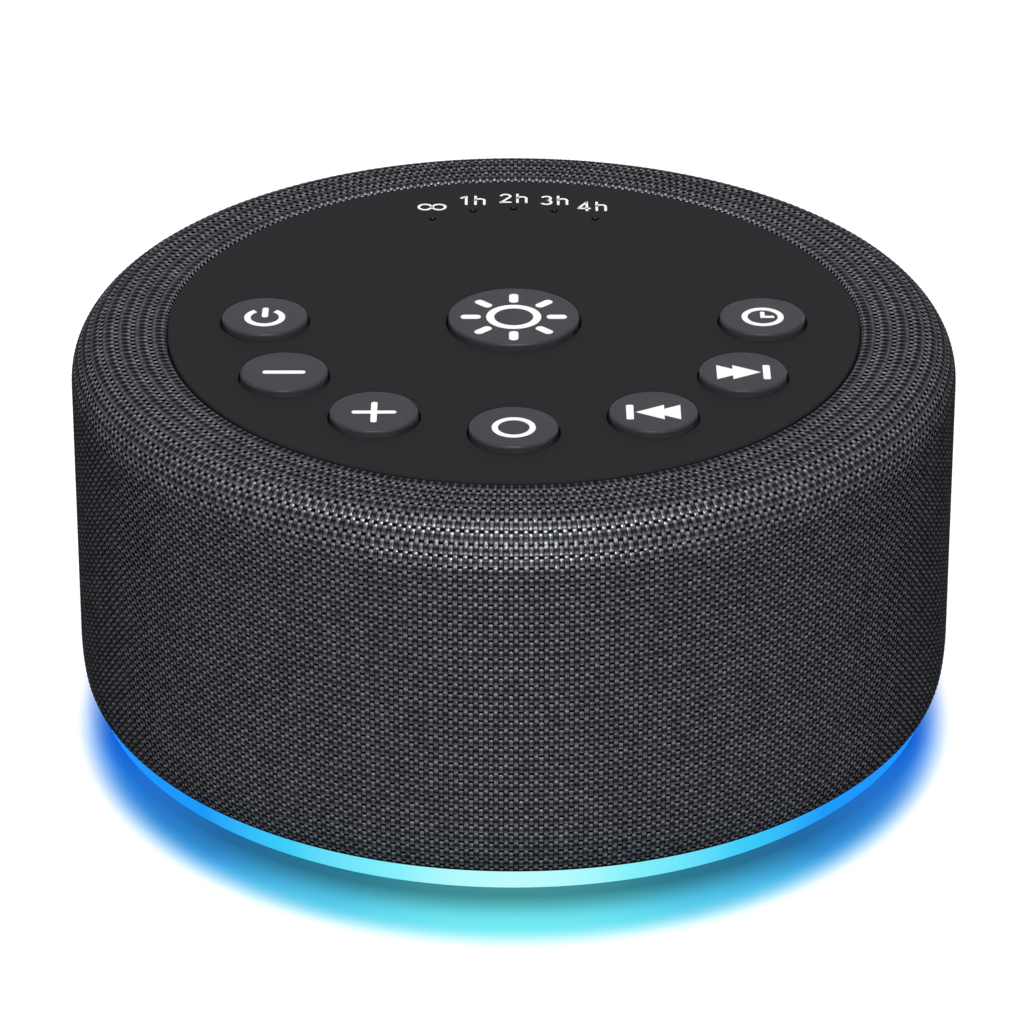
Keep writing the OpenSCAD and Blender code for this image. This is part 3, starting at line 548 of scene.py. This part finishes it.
def cover_face(sink):
    """Points along the cover's face from the hem to the tuck, that far under the nominal face."""
    foot_r, fold_r = BODY_R + FLARE - sink, TUCK_R + FOLD_R
    hem = arc(foot_r - HEM_DRAW, HEM_Z + HEM_H, HEM_DRAW, HEM_H, -90, 0, 24)
    edge = arc(BODY_R - EDGE_R, DECK_Z - EDGE_R, EDGE_R - sink, EDGE_R - sink, 0, 90, 48)
    fold = arc(fold_r, DECK_Z - FOLD_R, FOLD_R - sink, FOLD_R - sink, 90, 180, 12)
    return hem + edge + fold + [Vector((TUCK_R + sink, SEAT_Z))]


def along(path, distance):
    """The point that far along a path."""
    for a, b in zip(path, path[1:]):
        step = (b - a).length
        if distance <= step:
            return a.lerp(b, distance / step if step else 0)
        distance -= step
    return path[-1]


def row_pitch(point):
    """Rows lie close on the side, open out over the rounded edge and stay open on the deck."""
    rise = point.y - (DECK_Z - EDGE_R)
    if point.x < BODY_R - EDGE_R:
        return ROW_DECK if point.x > TUCK_R + 2 * FOLD_R else ROW_TUCK
    if rise <= 0:
        return ROW_SIDE
    share = math.asin(min(1, rise / (EDGE_R - SINK))) / (math.pi / 2)
    return ROW_SIDE + (ROW_DECK - ROW_SIDE) * share


def cover_rows():
    """Where each row of threads starts on the face, from the hem to the tuck's foot."""
    path = cover_face(SINK)
    total = sum((b - a).length for a, b in zip(path, path[1:]))
    places, done = [path[0]], 0
    while True:
        done += row_pitch(places[-1])
        if done > total - ROW_TUCK / 2:
            return places + [path[-1]]
        places.append(along(path, done))


def inner_wall():
    """The cover's back, from the tuck's foot to the hem."""
    edge = arc(BODY_R - EDGE_R, DECK_Z - EDGE_R, EDGE_R - COVER_T, EDGE_R - COVER_T, 90, 0, 4)
    hem = arc(BODY_R - HEM_DRAW - COVER_T, HEM_Z + HEM_H, HEM_DRAW, HEM_H, 0, -90, 2)
    top = [Vector((TUCK_R + COVER_T, SEAT_Z)), Vector((TUCK_R + COVER_T, DECK_Z - COVER_T))]
    return top + edge + hem


def woven_cover():
    """The cover as a lattice of threads round the body, with every second cell raised to a crest."""
    rows, inside = cover_rows(), inner_wall()
    bm = bmesh.new()
    height = bm.verts.layers.float.new("row")
    verts = []
    for k, point in enumerate(rows + inside):
        verts.append(bm.verts.new((point.x, 0, point.y)))
        verts[-1][height] = k if k < len(rows) else -1.0
    spin_section(bm, verts, THREADS)

    crests = []
    for face in bm.faces:
        lowest = min(v[height] for v in face.verts)
        if 0 <= lowest < len(rows) - 1 - BARE_ROWS:
            middle = face.calc_center_median()
            column = int(math.atan2(middle.y, middle.x) % math.tau / math.tau * THREADS)
            if (column + int(lowest)) % 2 == 0:
                crests.append(face)
    corners = set(bm.verts)
    bmesh.ops.poke(bm, faces=crests, offset=CREST, center_mode="MEAN")
    for vert in set(bm.verts) - corners:
        around = [e.other_vert(vert)[height] for e in vert.link_edges]
        vert[height] = sum(around) / len(around)
    thread_maps(bm, height, len(rows) - 1)
    return bm


def thread_maps(bm, height, rows):
    """Counts threads and rows in one map, and lays the cover out for baking in the other.

    The face fills the strips, and the back lies in a narrow band above them.
    """
    threads = bm.loops.layers.uv.new("threads")
    layout = bm.loops.layers.uv.new("OFBake")
    strip_w = THREADS / STRIPS
    for face in bm.faces:
        middle = face.calc_center_median()
        home = math.atan2(middle.y, middle.x) % math.tau / math.tau * THREADS
        strip = min(STRIPS - 1, int(home / strip_w))
        outer = min(v[height] for v in face.verts) >= 0
        for loop in face.loops:
            co = loop.vert.co
            column = math.atan2(co.y, co.x) % math.tau / math.tau * THREADS
            column += THREADS * round((home - column) / THREADS)
            row = loop.vert[height]
            loop[threads].uv = (column, row) if outer else (column, 0)
            across = (column - strip * strip_w) / strip_w
            up = (strip + row / rows) * STRIP_H * STRIP_FILL
            if not outer:
                up = BACK_FOOT + BACK_H * co.z / DECK_Z
            loop[layout].uv = (min(1, max(0, across)), up)


# the window for the inlet's bezel: width, depth, height, corner, and how far in its middle lies
INLET_W = 15.8 * MM
INLET_DEPTH = 12 * MM
INLET_H = 10 * MM
INLET_CORNER = 2.5 * MM
INLET_IN = 3 * MM


def inlet_cut(made):
    """Opens the cover where the inlet's bezel comes through."""
    low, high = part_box("inlet_bezel")
    sized = Matrix.Diagonal((INLET_W, INLET_DEPTH, INLET_H, 1))
    place = Matrix.Translation((0, BODY_R - INLET_IN, (low.z + high.z) / 2)) @ sized
    bm = bmesh.new()
    bmesh.ops.create_cube(bm, size=1, matrix=place)
    long_edges = [e for e in bm.edges if abs(e.verts[0].co.y - e.verts[1].co.y) > MM]
    rounded(bm, long_edges, INLET_CORNER, 8)
    cutter = in_scene("inlet_cutter", mesh_from(bm, "inlet_cutter"))
    cut = made.modifiers.new("Inlet window", "BOOLEAN")
    cut.object, cut.solver = cutter, "MANIFOLD"
    with bpy.context.temp_override(object=made):
        bpy.ops.object.modifier_apply(modifier=cut.name)
    bpy.data.objects.remove(cutter)


cover = piece("woven_cover", woven_cover(), "housing", "cover_fabric", ["fabric_cover"], sharp=60)
inlet_cut(cover)

# ---------------------------------------------------------------- panel, base and ring

softened("control_panel", "panel", "panel_plastic", 0.08 * MM)
softened("base_cover", "base", "case_plastic", 0.15 * MM)
softened("inlet_bezel", "bezel", "case_plastic", 0.15 * MM)
softened("rubber_feet", "feet", "foot_rubber", 0.15 * MM)

# the ring's band, which leans in towards its foot
RING_TOP_R = 51.6 * MM
RING_FOOT_R = 51 * MM
RING_INNER_R = 47.6 * MM
RING_FOOT_Z = FOOT_GAP - 0.35 * MM
RING_FOOT_ROUND = 0.25 * MM
# the lip inside the hem
LIP_OUTER_R = 50.9 * MM
LIP_INNER_R = 44.525 * MM
LIP_LOW_Z = 3.5 * MM
LIP_HIGH_Z = 5.2 * MM


def light_ring():
    """The ring turned from its section: a band with a rounded foot, and the lip inside the hem."""
    round_r, round_z = RING_FOOT_R - RING_FOOT_ROUND, RING_FOOT_Z + RING_FOOT_ROUND
    foot = arc(round_r, round_z, RING_FOOT_ROUND, RING_FOOT_ROUND, -90, -10, 5)
    upper = [(RING_TOP_R, HEM_Z), (LIP_OUTER_R, HEM_Z), (LIP_OUTER_R, LIP_HIGH_Z)]
    upper += [(LIP_INNER_R, LIP_HIGH_Z), (LIP_INNER_R, LIP_LOW_Z), (RING_INNER_R, LIP_LOW_Z)]
    return turned([(RING_INNER_R, RING_FOOT_Z)] + foot + upper, 192)


piece("lit_ring", light_ring(), "housing", "ring_glow", ["light_ring"])

# ---------------------------------------------------------------- speaker's spider

# flat neck round the voice coil, its drop below the seat, and the waves between them
SPIDER_NECK_R = 7.1 * MM
SPIDER_NECK_END_R = 8.4 * MM
SPIDER_SEAT_R = 14.8 * MM
SPIDER_DROP = 0.46 * MM
SPIDER_WAVES = 5
SPIDER_WAVE_H = 0.28 * MM
# the cloth is this much thinner than its room
SPIDER_PLAY = 0.06 * MM


def spider():
    """Corrugated cloth from its seat in the frame to a neck low enough for the cone's full travel."""
    low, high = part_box("speaker_spider")
    thick, middle = high.z - low.z - SPIDER_PLAY, (low.z + high.z) / 2
    steps = 12 * SPIDER_WAVES
    line = [Vector((SPIDER_NECK_R, middle - SPIDER_DROP))]
    for k in range(steps + 1):
        share = k / steps
        r = SPIDER_NECK_END_R + (SPIDER_SEAT_R - SPIDER_NECK_END_R) * share
        wave = SPIDER_WAVE_H * math.sin(math.tau * SPIDER_WAVES * share)
        line.append(Vector((r, middle - SPIDER_DROP * (1 - share) + wave)))
    line.append(Vector((high.x, middle)))
    half = Vector((0, thick / 2))
    return turned([p + half for p in line] + [p - half for p in reversed(line)], 96)


piece("spider", spider(), "housing", "spider_cloth", ["speaker_spider"])

# ---------------------------------------------------------------- keys


def key_cap(cap_r, bottom, top):
    """A key turned from its section: stem, flange under the panel, straight side and rounded rim."""
    flange_z = bottom + KEY_STEM_H
    outline = [(0, bottom), (KEY_STEM_R, bottom), (KEY_STEM_R, flange_z), (cap_r + KEY_FLANGE, flange_z)]
    outline += [(cap_r + KEY_FLANGE, flange_z + KEY_FLANGE_H), (cap_r, flange_z + KEY_FLANGE_H)]
    rim = arc(cap_r - KEY_RIM, top - KEY_RIM, KEY_RIM, KEY_RIM, 0, 90, 8)
    return turned([Vector(p) for p in outline] + rim + [Vector((0, top))], 128)


def bar(bm, length, width, at=(0, 0), angle=0.0, corner=0.9):
    """A flat bar with its middle at a point, turned by an angle in degrees.

    Its corners are rounded to that share of half its width.
    """
    turn = Matrix.Rotation(math.radians(angle), 4, "Z")
    sized = Matrix.Diagonal((length * MM, width * MM, 1, 1))
    place = Matrix.Translation((at[0] * MM, at[1] * MM, 0)) @ turn @ sized
    made = bmesh.ops.create_grid(bm, x_segments=1, y_segments=1, size=0.5, matrix=place)
    rounded(bm, made["verts"], corner * width * MM / 2, 5, affect="VERTICES")


def band(bm, outer, stroke, start=0.0, sweep=360.0, at=(0, 0)):
    """A flat ring, or a stretch of one from the start angle on."""
    turn = Matrix.Translation((at[0] * MM, at[1] * MM, 0)) @ Matrix.Rotation(math.radians(start), 4, "Z")
    ends = [bm.verts.new(turn @ Vector((r * MM, 0, 0))) for r in (outer - stroke, outer)]
    line = bm.edges.new(ends)
    whole = sweep == 360.0
    spun = {"cent": turn.translation, "axis": (0, 0, 1), "angle": math.radians(sweep), "steps": 64}
    bmesh.ops.spin(bm, geom=ends + [line], use_merge=whole, **spun)


def patch(bm, points, soft=(), corner=0.0):
    """A flat shape with corners at the points, some of them rounded."""
    verts = [bm.verts.new((x * MM, y * MM, 0)) for x, y in points]
    bm.faces.new(verts)
    if corner:
        rounded(bm, [verts[k] for k in soft], corner * MM, 4, affect="VERTICES")


def power_mark(bm):
    band(bm, 2.43, 0.75, start=125, sweep=290, at=(0, -0.12))
    bar(bm, 2.6, 0.75, at=(0, 1.2), angle=90)


def minus_mark(bm):
    bar(bm, 4.97, 0.78)


def plus_mark(bm):
    half, reach = 0.36, 2.54
    quarter = [(half, half), (half, reach), (-half, reach)]
    points = []
    for _ in range(4):
        points += quarter
        quarter = [(-y, x) for x, y in quarter]
    patch(bm, points, [k for k in range(12) if k % 3], 0.3)


def ring_mark(bm):
    band(bm, 2.5, 0.7)


def next_mark(bm, side=1):
    upper = [(-3.1, 1.8), (-1.24, 0.785), (-1.24, 1.8)]
    arrows = upper + [(2.0, 0)] + [(x, -y) for x, y in reversed(upper)]
    patch(bm, [(side * x, y) for x, y in arrows])
    bar(bm, 0.84, 3.6, at=(side * 2.68, 0), corner=0.1)


def previous_mark(bm):
    next_mark(bm, -1)


def clock_mark(bm):
    band(bm, 2.5, 0.7)
    t, up, right = 0.27, 1.35, 1.38
    patch(bm, [(-t, -t), (right, -t), (right, t), (t, t), (t, up), (-t, up)], [1, 2, 4, 5], 0.15)


def sun_mark(bm):
    rays, ray_r = 8, 5.1
    band(bm, 3.27, 0.95)
    for k in range(rays):
        a = math.tau * k / rays
        bar(bm, 2.4, 1.1, at=(ray_r * math.cos(a), ray_r * math.sin(a)), angle=360 / rays * k)


MARKS = {
    "power": power_mark,
    "volume_down": minus_mark,
    "volume_up": plus_mark,
    "mode": ring_mark,
    "previous": previous_mark,
    "next": next_mark,
    "timer": clock_mark,
    "light": sun_mark,
}


def printed(name, bm, at, body):
    """Turns flat shapes into a thin layer of ink on the face at that point."""
    bmesh.ops.remove_doubles(bm, verts=bm.verts, dist=WELD)
    grown = bmesh.ops.extrude_face_region(bm, geom=bm.faces[:])
    top = [g for g in grown["geom"] if isinstance(g, bmesh.types.BMVert)]
    bmesh.ops.translate(bm, verts=top, vec=(0, 0, 2 * INK))
    bmesh.ops.translate(bm, verts=bm.verts, vec=at - Vector((0, 0, INK)))
    bmesh.ops.recalc_face_normals(bm, faces=bm.faces)
    piece(name, bm, body, "legend_white")


caps = []
for key in KEYS:
    low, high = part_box(key + "_key")
    centre = (low + high) / 2
    cap = key_cap((high.x - low.x) / 2 - KEY_FLANGE, low.z, high.z)
    bmesh.ops.translate(cap, verts=cap.verts, vec=(centre.x, centre.y, 0))
    made = piece(key + "_cap", cap, key + "_key", "key_plastic", [key + "_key"])
    flat_shading(made)
    caps.append(made)
    mark = bmesh.new()
    MARKS[key](mark)
    at = Vector((centre.x, centre.y - MARK_DROP, high.z))
    printed(key + "_mark", mark, at, key + "_key")

# ---------------------------------------------------------------- timer marks

# the marks stand on an arc, whose centre lies this far behind the panel's
MARK_ARC_Y = 14.6 * MM
MARK_ARC_R = 21 * MM
# a letter's stroke, height and width, in millimetres
STROKE = 0.32
TALL = 2.7
LETTER_W = 1.46


def stroke(bm, a, b):
    """A straight stroke of a letter between two points."""
    run, rise = b[0] - a[0], b[1] - a[1]
    middle = ((a[0] + b[0]) / 2, (a[1] + b[1]) / 2)
    bar(bm, math.hypot(run, rise), STROKE, middle, math.degrees(math.atan2(rise, run)), 0.15)


def letter_h(bm, x):
    stroke(bm, (x - 0.55, -TALL / 2), (x - 0.55, TALL / 2))
    band(bm, 0.73, STROKE, 0, 180, (x, -0.11))
    stroke(bm, (x + 0.55, -TALL / 2), (x + 0.55, -0.1))


def digit_1(bm, x):
    stroke(bm, (x + 0.03, -TALL / 2), (x + 0.03, TALL / 2))
    stroke(bm, (x - 0.69, 0.62), (x + 0.01, 1.15))


def digit_2(bm, x):
    band(bm, 0.75, STROKE, -35, 205, (x, 0.6))
    stroke(bm, (x + 0.5, 0.33), (x - 0.5, -1.14))
    stroke(bm, (x - 0.75, -1.17), (x + 0.75, -1.17))


def digit_3(bm, x):
    band(bm, 0.73, STROKE, -90, 245, (x, 0.62))
    band(bm, 0.79, STROKE, -155, 245, (x, -0.56))


def digit_4(bm, x):
    stroke(bm, (x + 0.35, -TALL / 2), (x + 0.35, TALL / 2))
    stroke(bm, (x - 0.84, -0.6), (x + 0.84, -0.6))
    stroke(bm, (x - 0.72, -0.6), (x + 0.32, 1.25))


def forever(bm):
    """An endless loop: two open rings joined by strokes that cross in the middle."""
    for side, start in ((-1, 25), (1, 205)):
        band(bm, 0.96, STROKE, start, 310, (side * 0.86, 0))
        stroke(bm, (-0.153 * side, -0.33), (0.153 * side, 0.33))


# each mark's place from left to right, its width, and what it shows before its letter
TIMER_MARKS = {
    "always": (-10.2, 0, forever),
    "1h": (-5.1, 3.2, digit_1),
    "2h": (0, 3.5, digit_2),
    "3h": (5.1, 3.5, digit_3),
    "4h": (9.85, 3.6, digit_4),
}

for name, (x, width, draw) in TIMER_MARKS.items():
    mark = bmesh.new()
    if width:
        draw(mark, (LETTER_W - width) / 2)
        letter_h(mark, (width - LETTER_W) / 2)
    else:
        draw(mark)
    at = Vector((x * MM, MARK_ARC_Y + math.sqrt(MARK_ARC_R**2 - (x * MM) ** 2), DECK_Z))
    printed("timer_mark_" + name, mark, at, "housing")

# ---------------------------------------------------------------- lamp lenses

# the lamps stand on a smaller arc about the same centre
LAMP_PITCH = 5.05 * MM
LAMP_ARC_R = 18 * MM
# a slope round a dark well, whose near-black is partly painted shade: its far side catches the light
LENS_R = 0.54 * MM
LENS_WELL_R = 0.34 * MM
LENS_RIM_Z = DECK_Z - 0.05 * MM
LENS_SLOPE_H = 0.15 * MM
LENS_FOOT_Z = DECK_Z - 0.6 * MM
LENS_WELL_Z = DECK_Z - 0.5 * MM

lenses = []
for k in range(-2, 3):
    outline = [(0, LENS_FOOT_Z), (LENS_R, LENS_FOOT_Z), (LENS_R, LENS_RIM_Z)]
    outline += [(LENS_WELL_R, LENS_RIM_Z - LENS_SLOPE_H), (LENS_WELL_R, LENS_WELL_Z), (0, LENS_WELL_Z)]
    lens = turned(outline, 32)
    x = k * LAMP_PITCH
    at = (x, MARK_ARC_Y + math.sqrt(LAMP_ARC_R**2 - x**2), 0)
    bmesh.ops.translate(lens, verts=lens.verts, vec=at)
    lenses.append(piece("lamp_lens_" + str(k + 3), lens, "housing", "light_guide"))

# ---------------------------------------------------------------- floor, light and camera

# the round floor's radius, in metres
FLOOR_R = 4
# the ring's light painted on the floor as a pool: drawn out to front and back, and where it fades
POOL_SHIFT = 9.7 * MM
POOL_INNER_R = 47.3 * MM
POOL_OUTER_R = 54.3 * MM
# the painted shadow line under the body, and the patch that lights the base from below
SHADE_OUTER_R = 57.5 * MM
SHADE_INNER_R = 51.5 * MM
UNDER_OUTER_R = 47 * MM
UNDER_INNER_R = 46 * MM
EYE_GAMMA = 2.2


def seen_share(tree):
    """1 where the studio itself is seen, also in gloss or through glass, and 0 where it lights."""
    path = add(tree, "LightPath", out="Is Camera Ray").node
    seen = path.outputs["Is Camera Ray"]
    for ray in ("Is Glossy Ray", "Is Transmission Ray"):
        seen = add(tree, "Math", {0: seen, 1: path.outputs[ray]}, operation="MAXIMUM")
    return seen


def studio_floor(tree):
    """White board, with the ring's light painted on it as a pool and a painted shadow line where the body
    stands close.
    """
    place = add(tree, "TexCoord", out="Object")
    x = add(tree, "SeparateXYZ", {"Vector": place})
    y = add(tree, "Math", {0: x.node.outputs["Y"]}, operation="ABSOLUTE")
    y = add(tree, "Math", {0: y, 1: POOL_SHIFT}, operation="SUBTRACT")
    from_pool = add(tree, "CombineXYZ", {"X": x, "Y": y})
    from_pool = add(tree, "VectorMath", {0: from_pool}, out=1, operation="LENGTH")
    outside = {"Value": from_pool, 1: POOL_INNER_R, 2: POOL_OUTER_R}
    outside = add(tree, "MapRange", outside, interpolation_type="SMOOTHERSTEP")
    front = towards_front(tree, place)
    # the painted glow's colour and the board's white are mixed as the eye sees them
    glow = add(tree, "ValToRGB", {"Fac": front}, stops=FLOOR_GLOW_PAINT)
    glow = add(tree, "Gamma", {"Color": glow, "Gamma": 1 / EYE_GAMMA})
    painted = add(tree, "Mix", {0: outside, 6: glow, 7: (1.07, 1.07, 1.07, 1)}, **MIXED)
    painted = add(tree, "Gamma", {"Color": painted, "Gamma": EYE_GAMMA})
    # the painted shadow line is drawn in front, where the body's foot is seen
    from_axis = add(tree, "VectorMath", {0: place}, out=1, operation="LENGTH")
    painted_shadow = {"Value": from_axis, 1: SHADE_OUTER_R, 2: SHADE_INNER_R}
    painted_shadow = add(tree, "MapRange", painted_shadow, interpolation_type="SMOOTHSTEP")
    ahead = {"Value": front, 1: 0.68, 2: 0.97}
    ahead = add(tree, "MapRange", ahead, interpolation_type="SMOOTHSTEP")
    painted_shadow = add(tree, "Math", {0: painted_shadow, 1: ahead}, operation="MULTIPLY")
    painted_shadow = add(tree, "MapRange", {"Value": painted_shadow, 3: 1.0, 4: 0.35})
    painted = add(tree, "Mix", {0: 1.0, 6: painted, 7: painted_shadow}, **TINTED)

    # the board shows its colour by its own light and a smaller share of the lamps', which
    # leaves it the body's shadow
    shaded = add(tree, "Mix", {0: 1.0, 6: painted, 7: (0.3, 0.3, 0.3, 1)}, **TINTED)
    shaded = add(tree, "BsdfDiffuse", {"Color": shaded})
    steady = add(tree, "Emission", {"Color": painted, "Strength": 0.7})
    shown = add(tree, "AddShader", {0: shaded, 1: steady})
    # what it gives the body is plain grey, and a little light on the base for views from below
    plain = add(tree, "BsdfDiffuse", {"Color": linear("#606060")})
    under = {"Value": from_axis, 1: UNDER_OUTER_R, 2: UNDER_INNER_R, 3: 0.0, 4: 1.5}
    under = add(tree, "MapRange", under)
    plain = add(tree, "AddShader", {0: plain, 1: add(tree, "Emission", {"Strength": under})})
    board = add(tree, "MixShader", {0: seen_share(tree), 1: plain, 2: shown})
    # from below, the camera sees through it
    camera_ray = add(tree, "LightPath", out="Is Camera Ray")
    back_face = add(tree, "NewGeometry", out="Backfacing")
    below = add(tree, "Math", {0: camera_ray, 1: back_face}, operation="MULTIPLY")
    return add(tree, "MixShader", {0: below, 1: board, 2: add(tree, "BsdfTransparent")})


def studio():
    """A round white floor and a white world that gives the body only a little light."""
    bm = bmesh.new()
    bmesh.ops.create_circle(bm, cap_ends=True, segments=64, radius=FLOOR_R)
    floor = in_scene("studio_floor", mesh_from(bm, "studio_floor"))
    floor.data.materials.append(material("White studio board", studio_floor))

    world = bpy.data.worlds.new("Plain studio")
    bpy.context.scene.world = world
    world.use_nodes = True
    tree = world.node_tree
    tree.nodes.clear()
    level = add(tree, "MapRange", {"Value": seen_share(tree), 3: 0.04, 4: 1.0})
    white = add(tree, "Background", {"Color": (1, 1, 1, 1), "Strength": level})
    add(tree, "OutputWorld", {"Surface": white})


# the lamps are aimed at this height
AIM = Vector((0, 0, 0.03))


def softbox(name, level, size, elevation, azimuth=0, distance=1.2, gloss=True):
    """A lamp aimed at the body, from so many degrees above the floor and round from the front.

    Level is the light it gives a face turned to it, 1 being full. Size and distance are in metres.
    """
    lamp = bpy.data.lights.new(name, "AREA")
    lamp.shape = "RECTANGLE"
    lamp.size, lamp.size_y = size
    lamp.energy = level * math.pi**2 * distance**2
    e, a = math.radians(elevation), math.radians(azimuth)
    back = Vector((math.sin(a) * math.cos(e), -math.cos(a) * math.cos(e), math.sin(e)))
    made = in_scene(name, lamp)
    made.location = AIM + back * distance
    made.rotation_euler = back.to_track_quat("Z", "Y").to_euler()
    made.visible_glossy = gloss
    return made


def edge_light(name, level, size, elevation, onto):
    """A lamp that shows only as gloss, on the rounded edges of these pieces."""
    made = softbox(name, level, size, elevation)
    made.visible_diffuse = False
    made.light_linking.receiver_collection = bpy.data.collections.new(name)
    for lit in onto:
        made.light_linking.receiver_collection.objects.link(lit)


studio()
softbox("overhead", 0.6, (0.25, 0.25), elevation=80)
softbox("front", 0.2, (0.3, 0.2), elevation=48, gloss=False)
softbox("low front", 0.37, (0.5, 0.3), elevation=20, distance=1.6, gloss=False)
edge_light("upper edge light", 1.4, (0.35, 0.3), elevation=73, onto=[cover])
edge_light("key edge light", 3, (0.3, 0.3), elevation=73, onto=caps + lenses)
edge_light("lower edge light", 1.4, (0.35, 0.2), elevation=15, onto=[cover])
for side in (-1, 1):
    softbox("rear fill", 0.18, (0.7, 0.7), elevation=25, azimuth=135 * side, distance=1.6, gloss=False)

# the body's axis stands a little right of the frame's middle
FRAME_W = 1024
AXIS_PIXEL_X = 513.7
CAMERA_AT = (0, -0.49736, 0.28750)
CAMERA_TILT = 61.9

camera = bpy.data.cameras.new("camera")
camera.lens = 163.5
camera.sensor_width = 36
camera.shift_x = (FRAME_W / 2 - AXIS_PIXEL_X) / FRAME_W
seat = in_scene("camera", camera)
seat.location = CAMERA_AT
seat.rotation_euler = (math.radians(CAMERA_TILT), 0, 0)
bpy.context.scene.camera = seat
bpy.context.scene.view_settings.view_transform = "Standard"
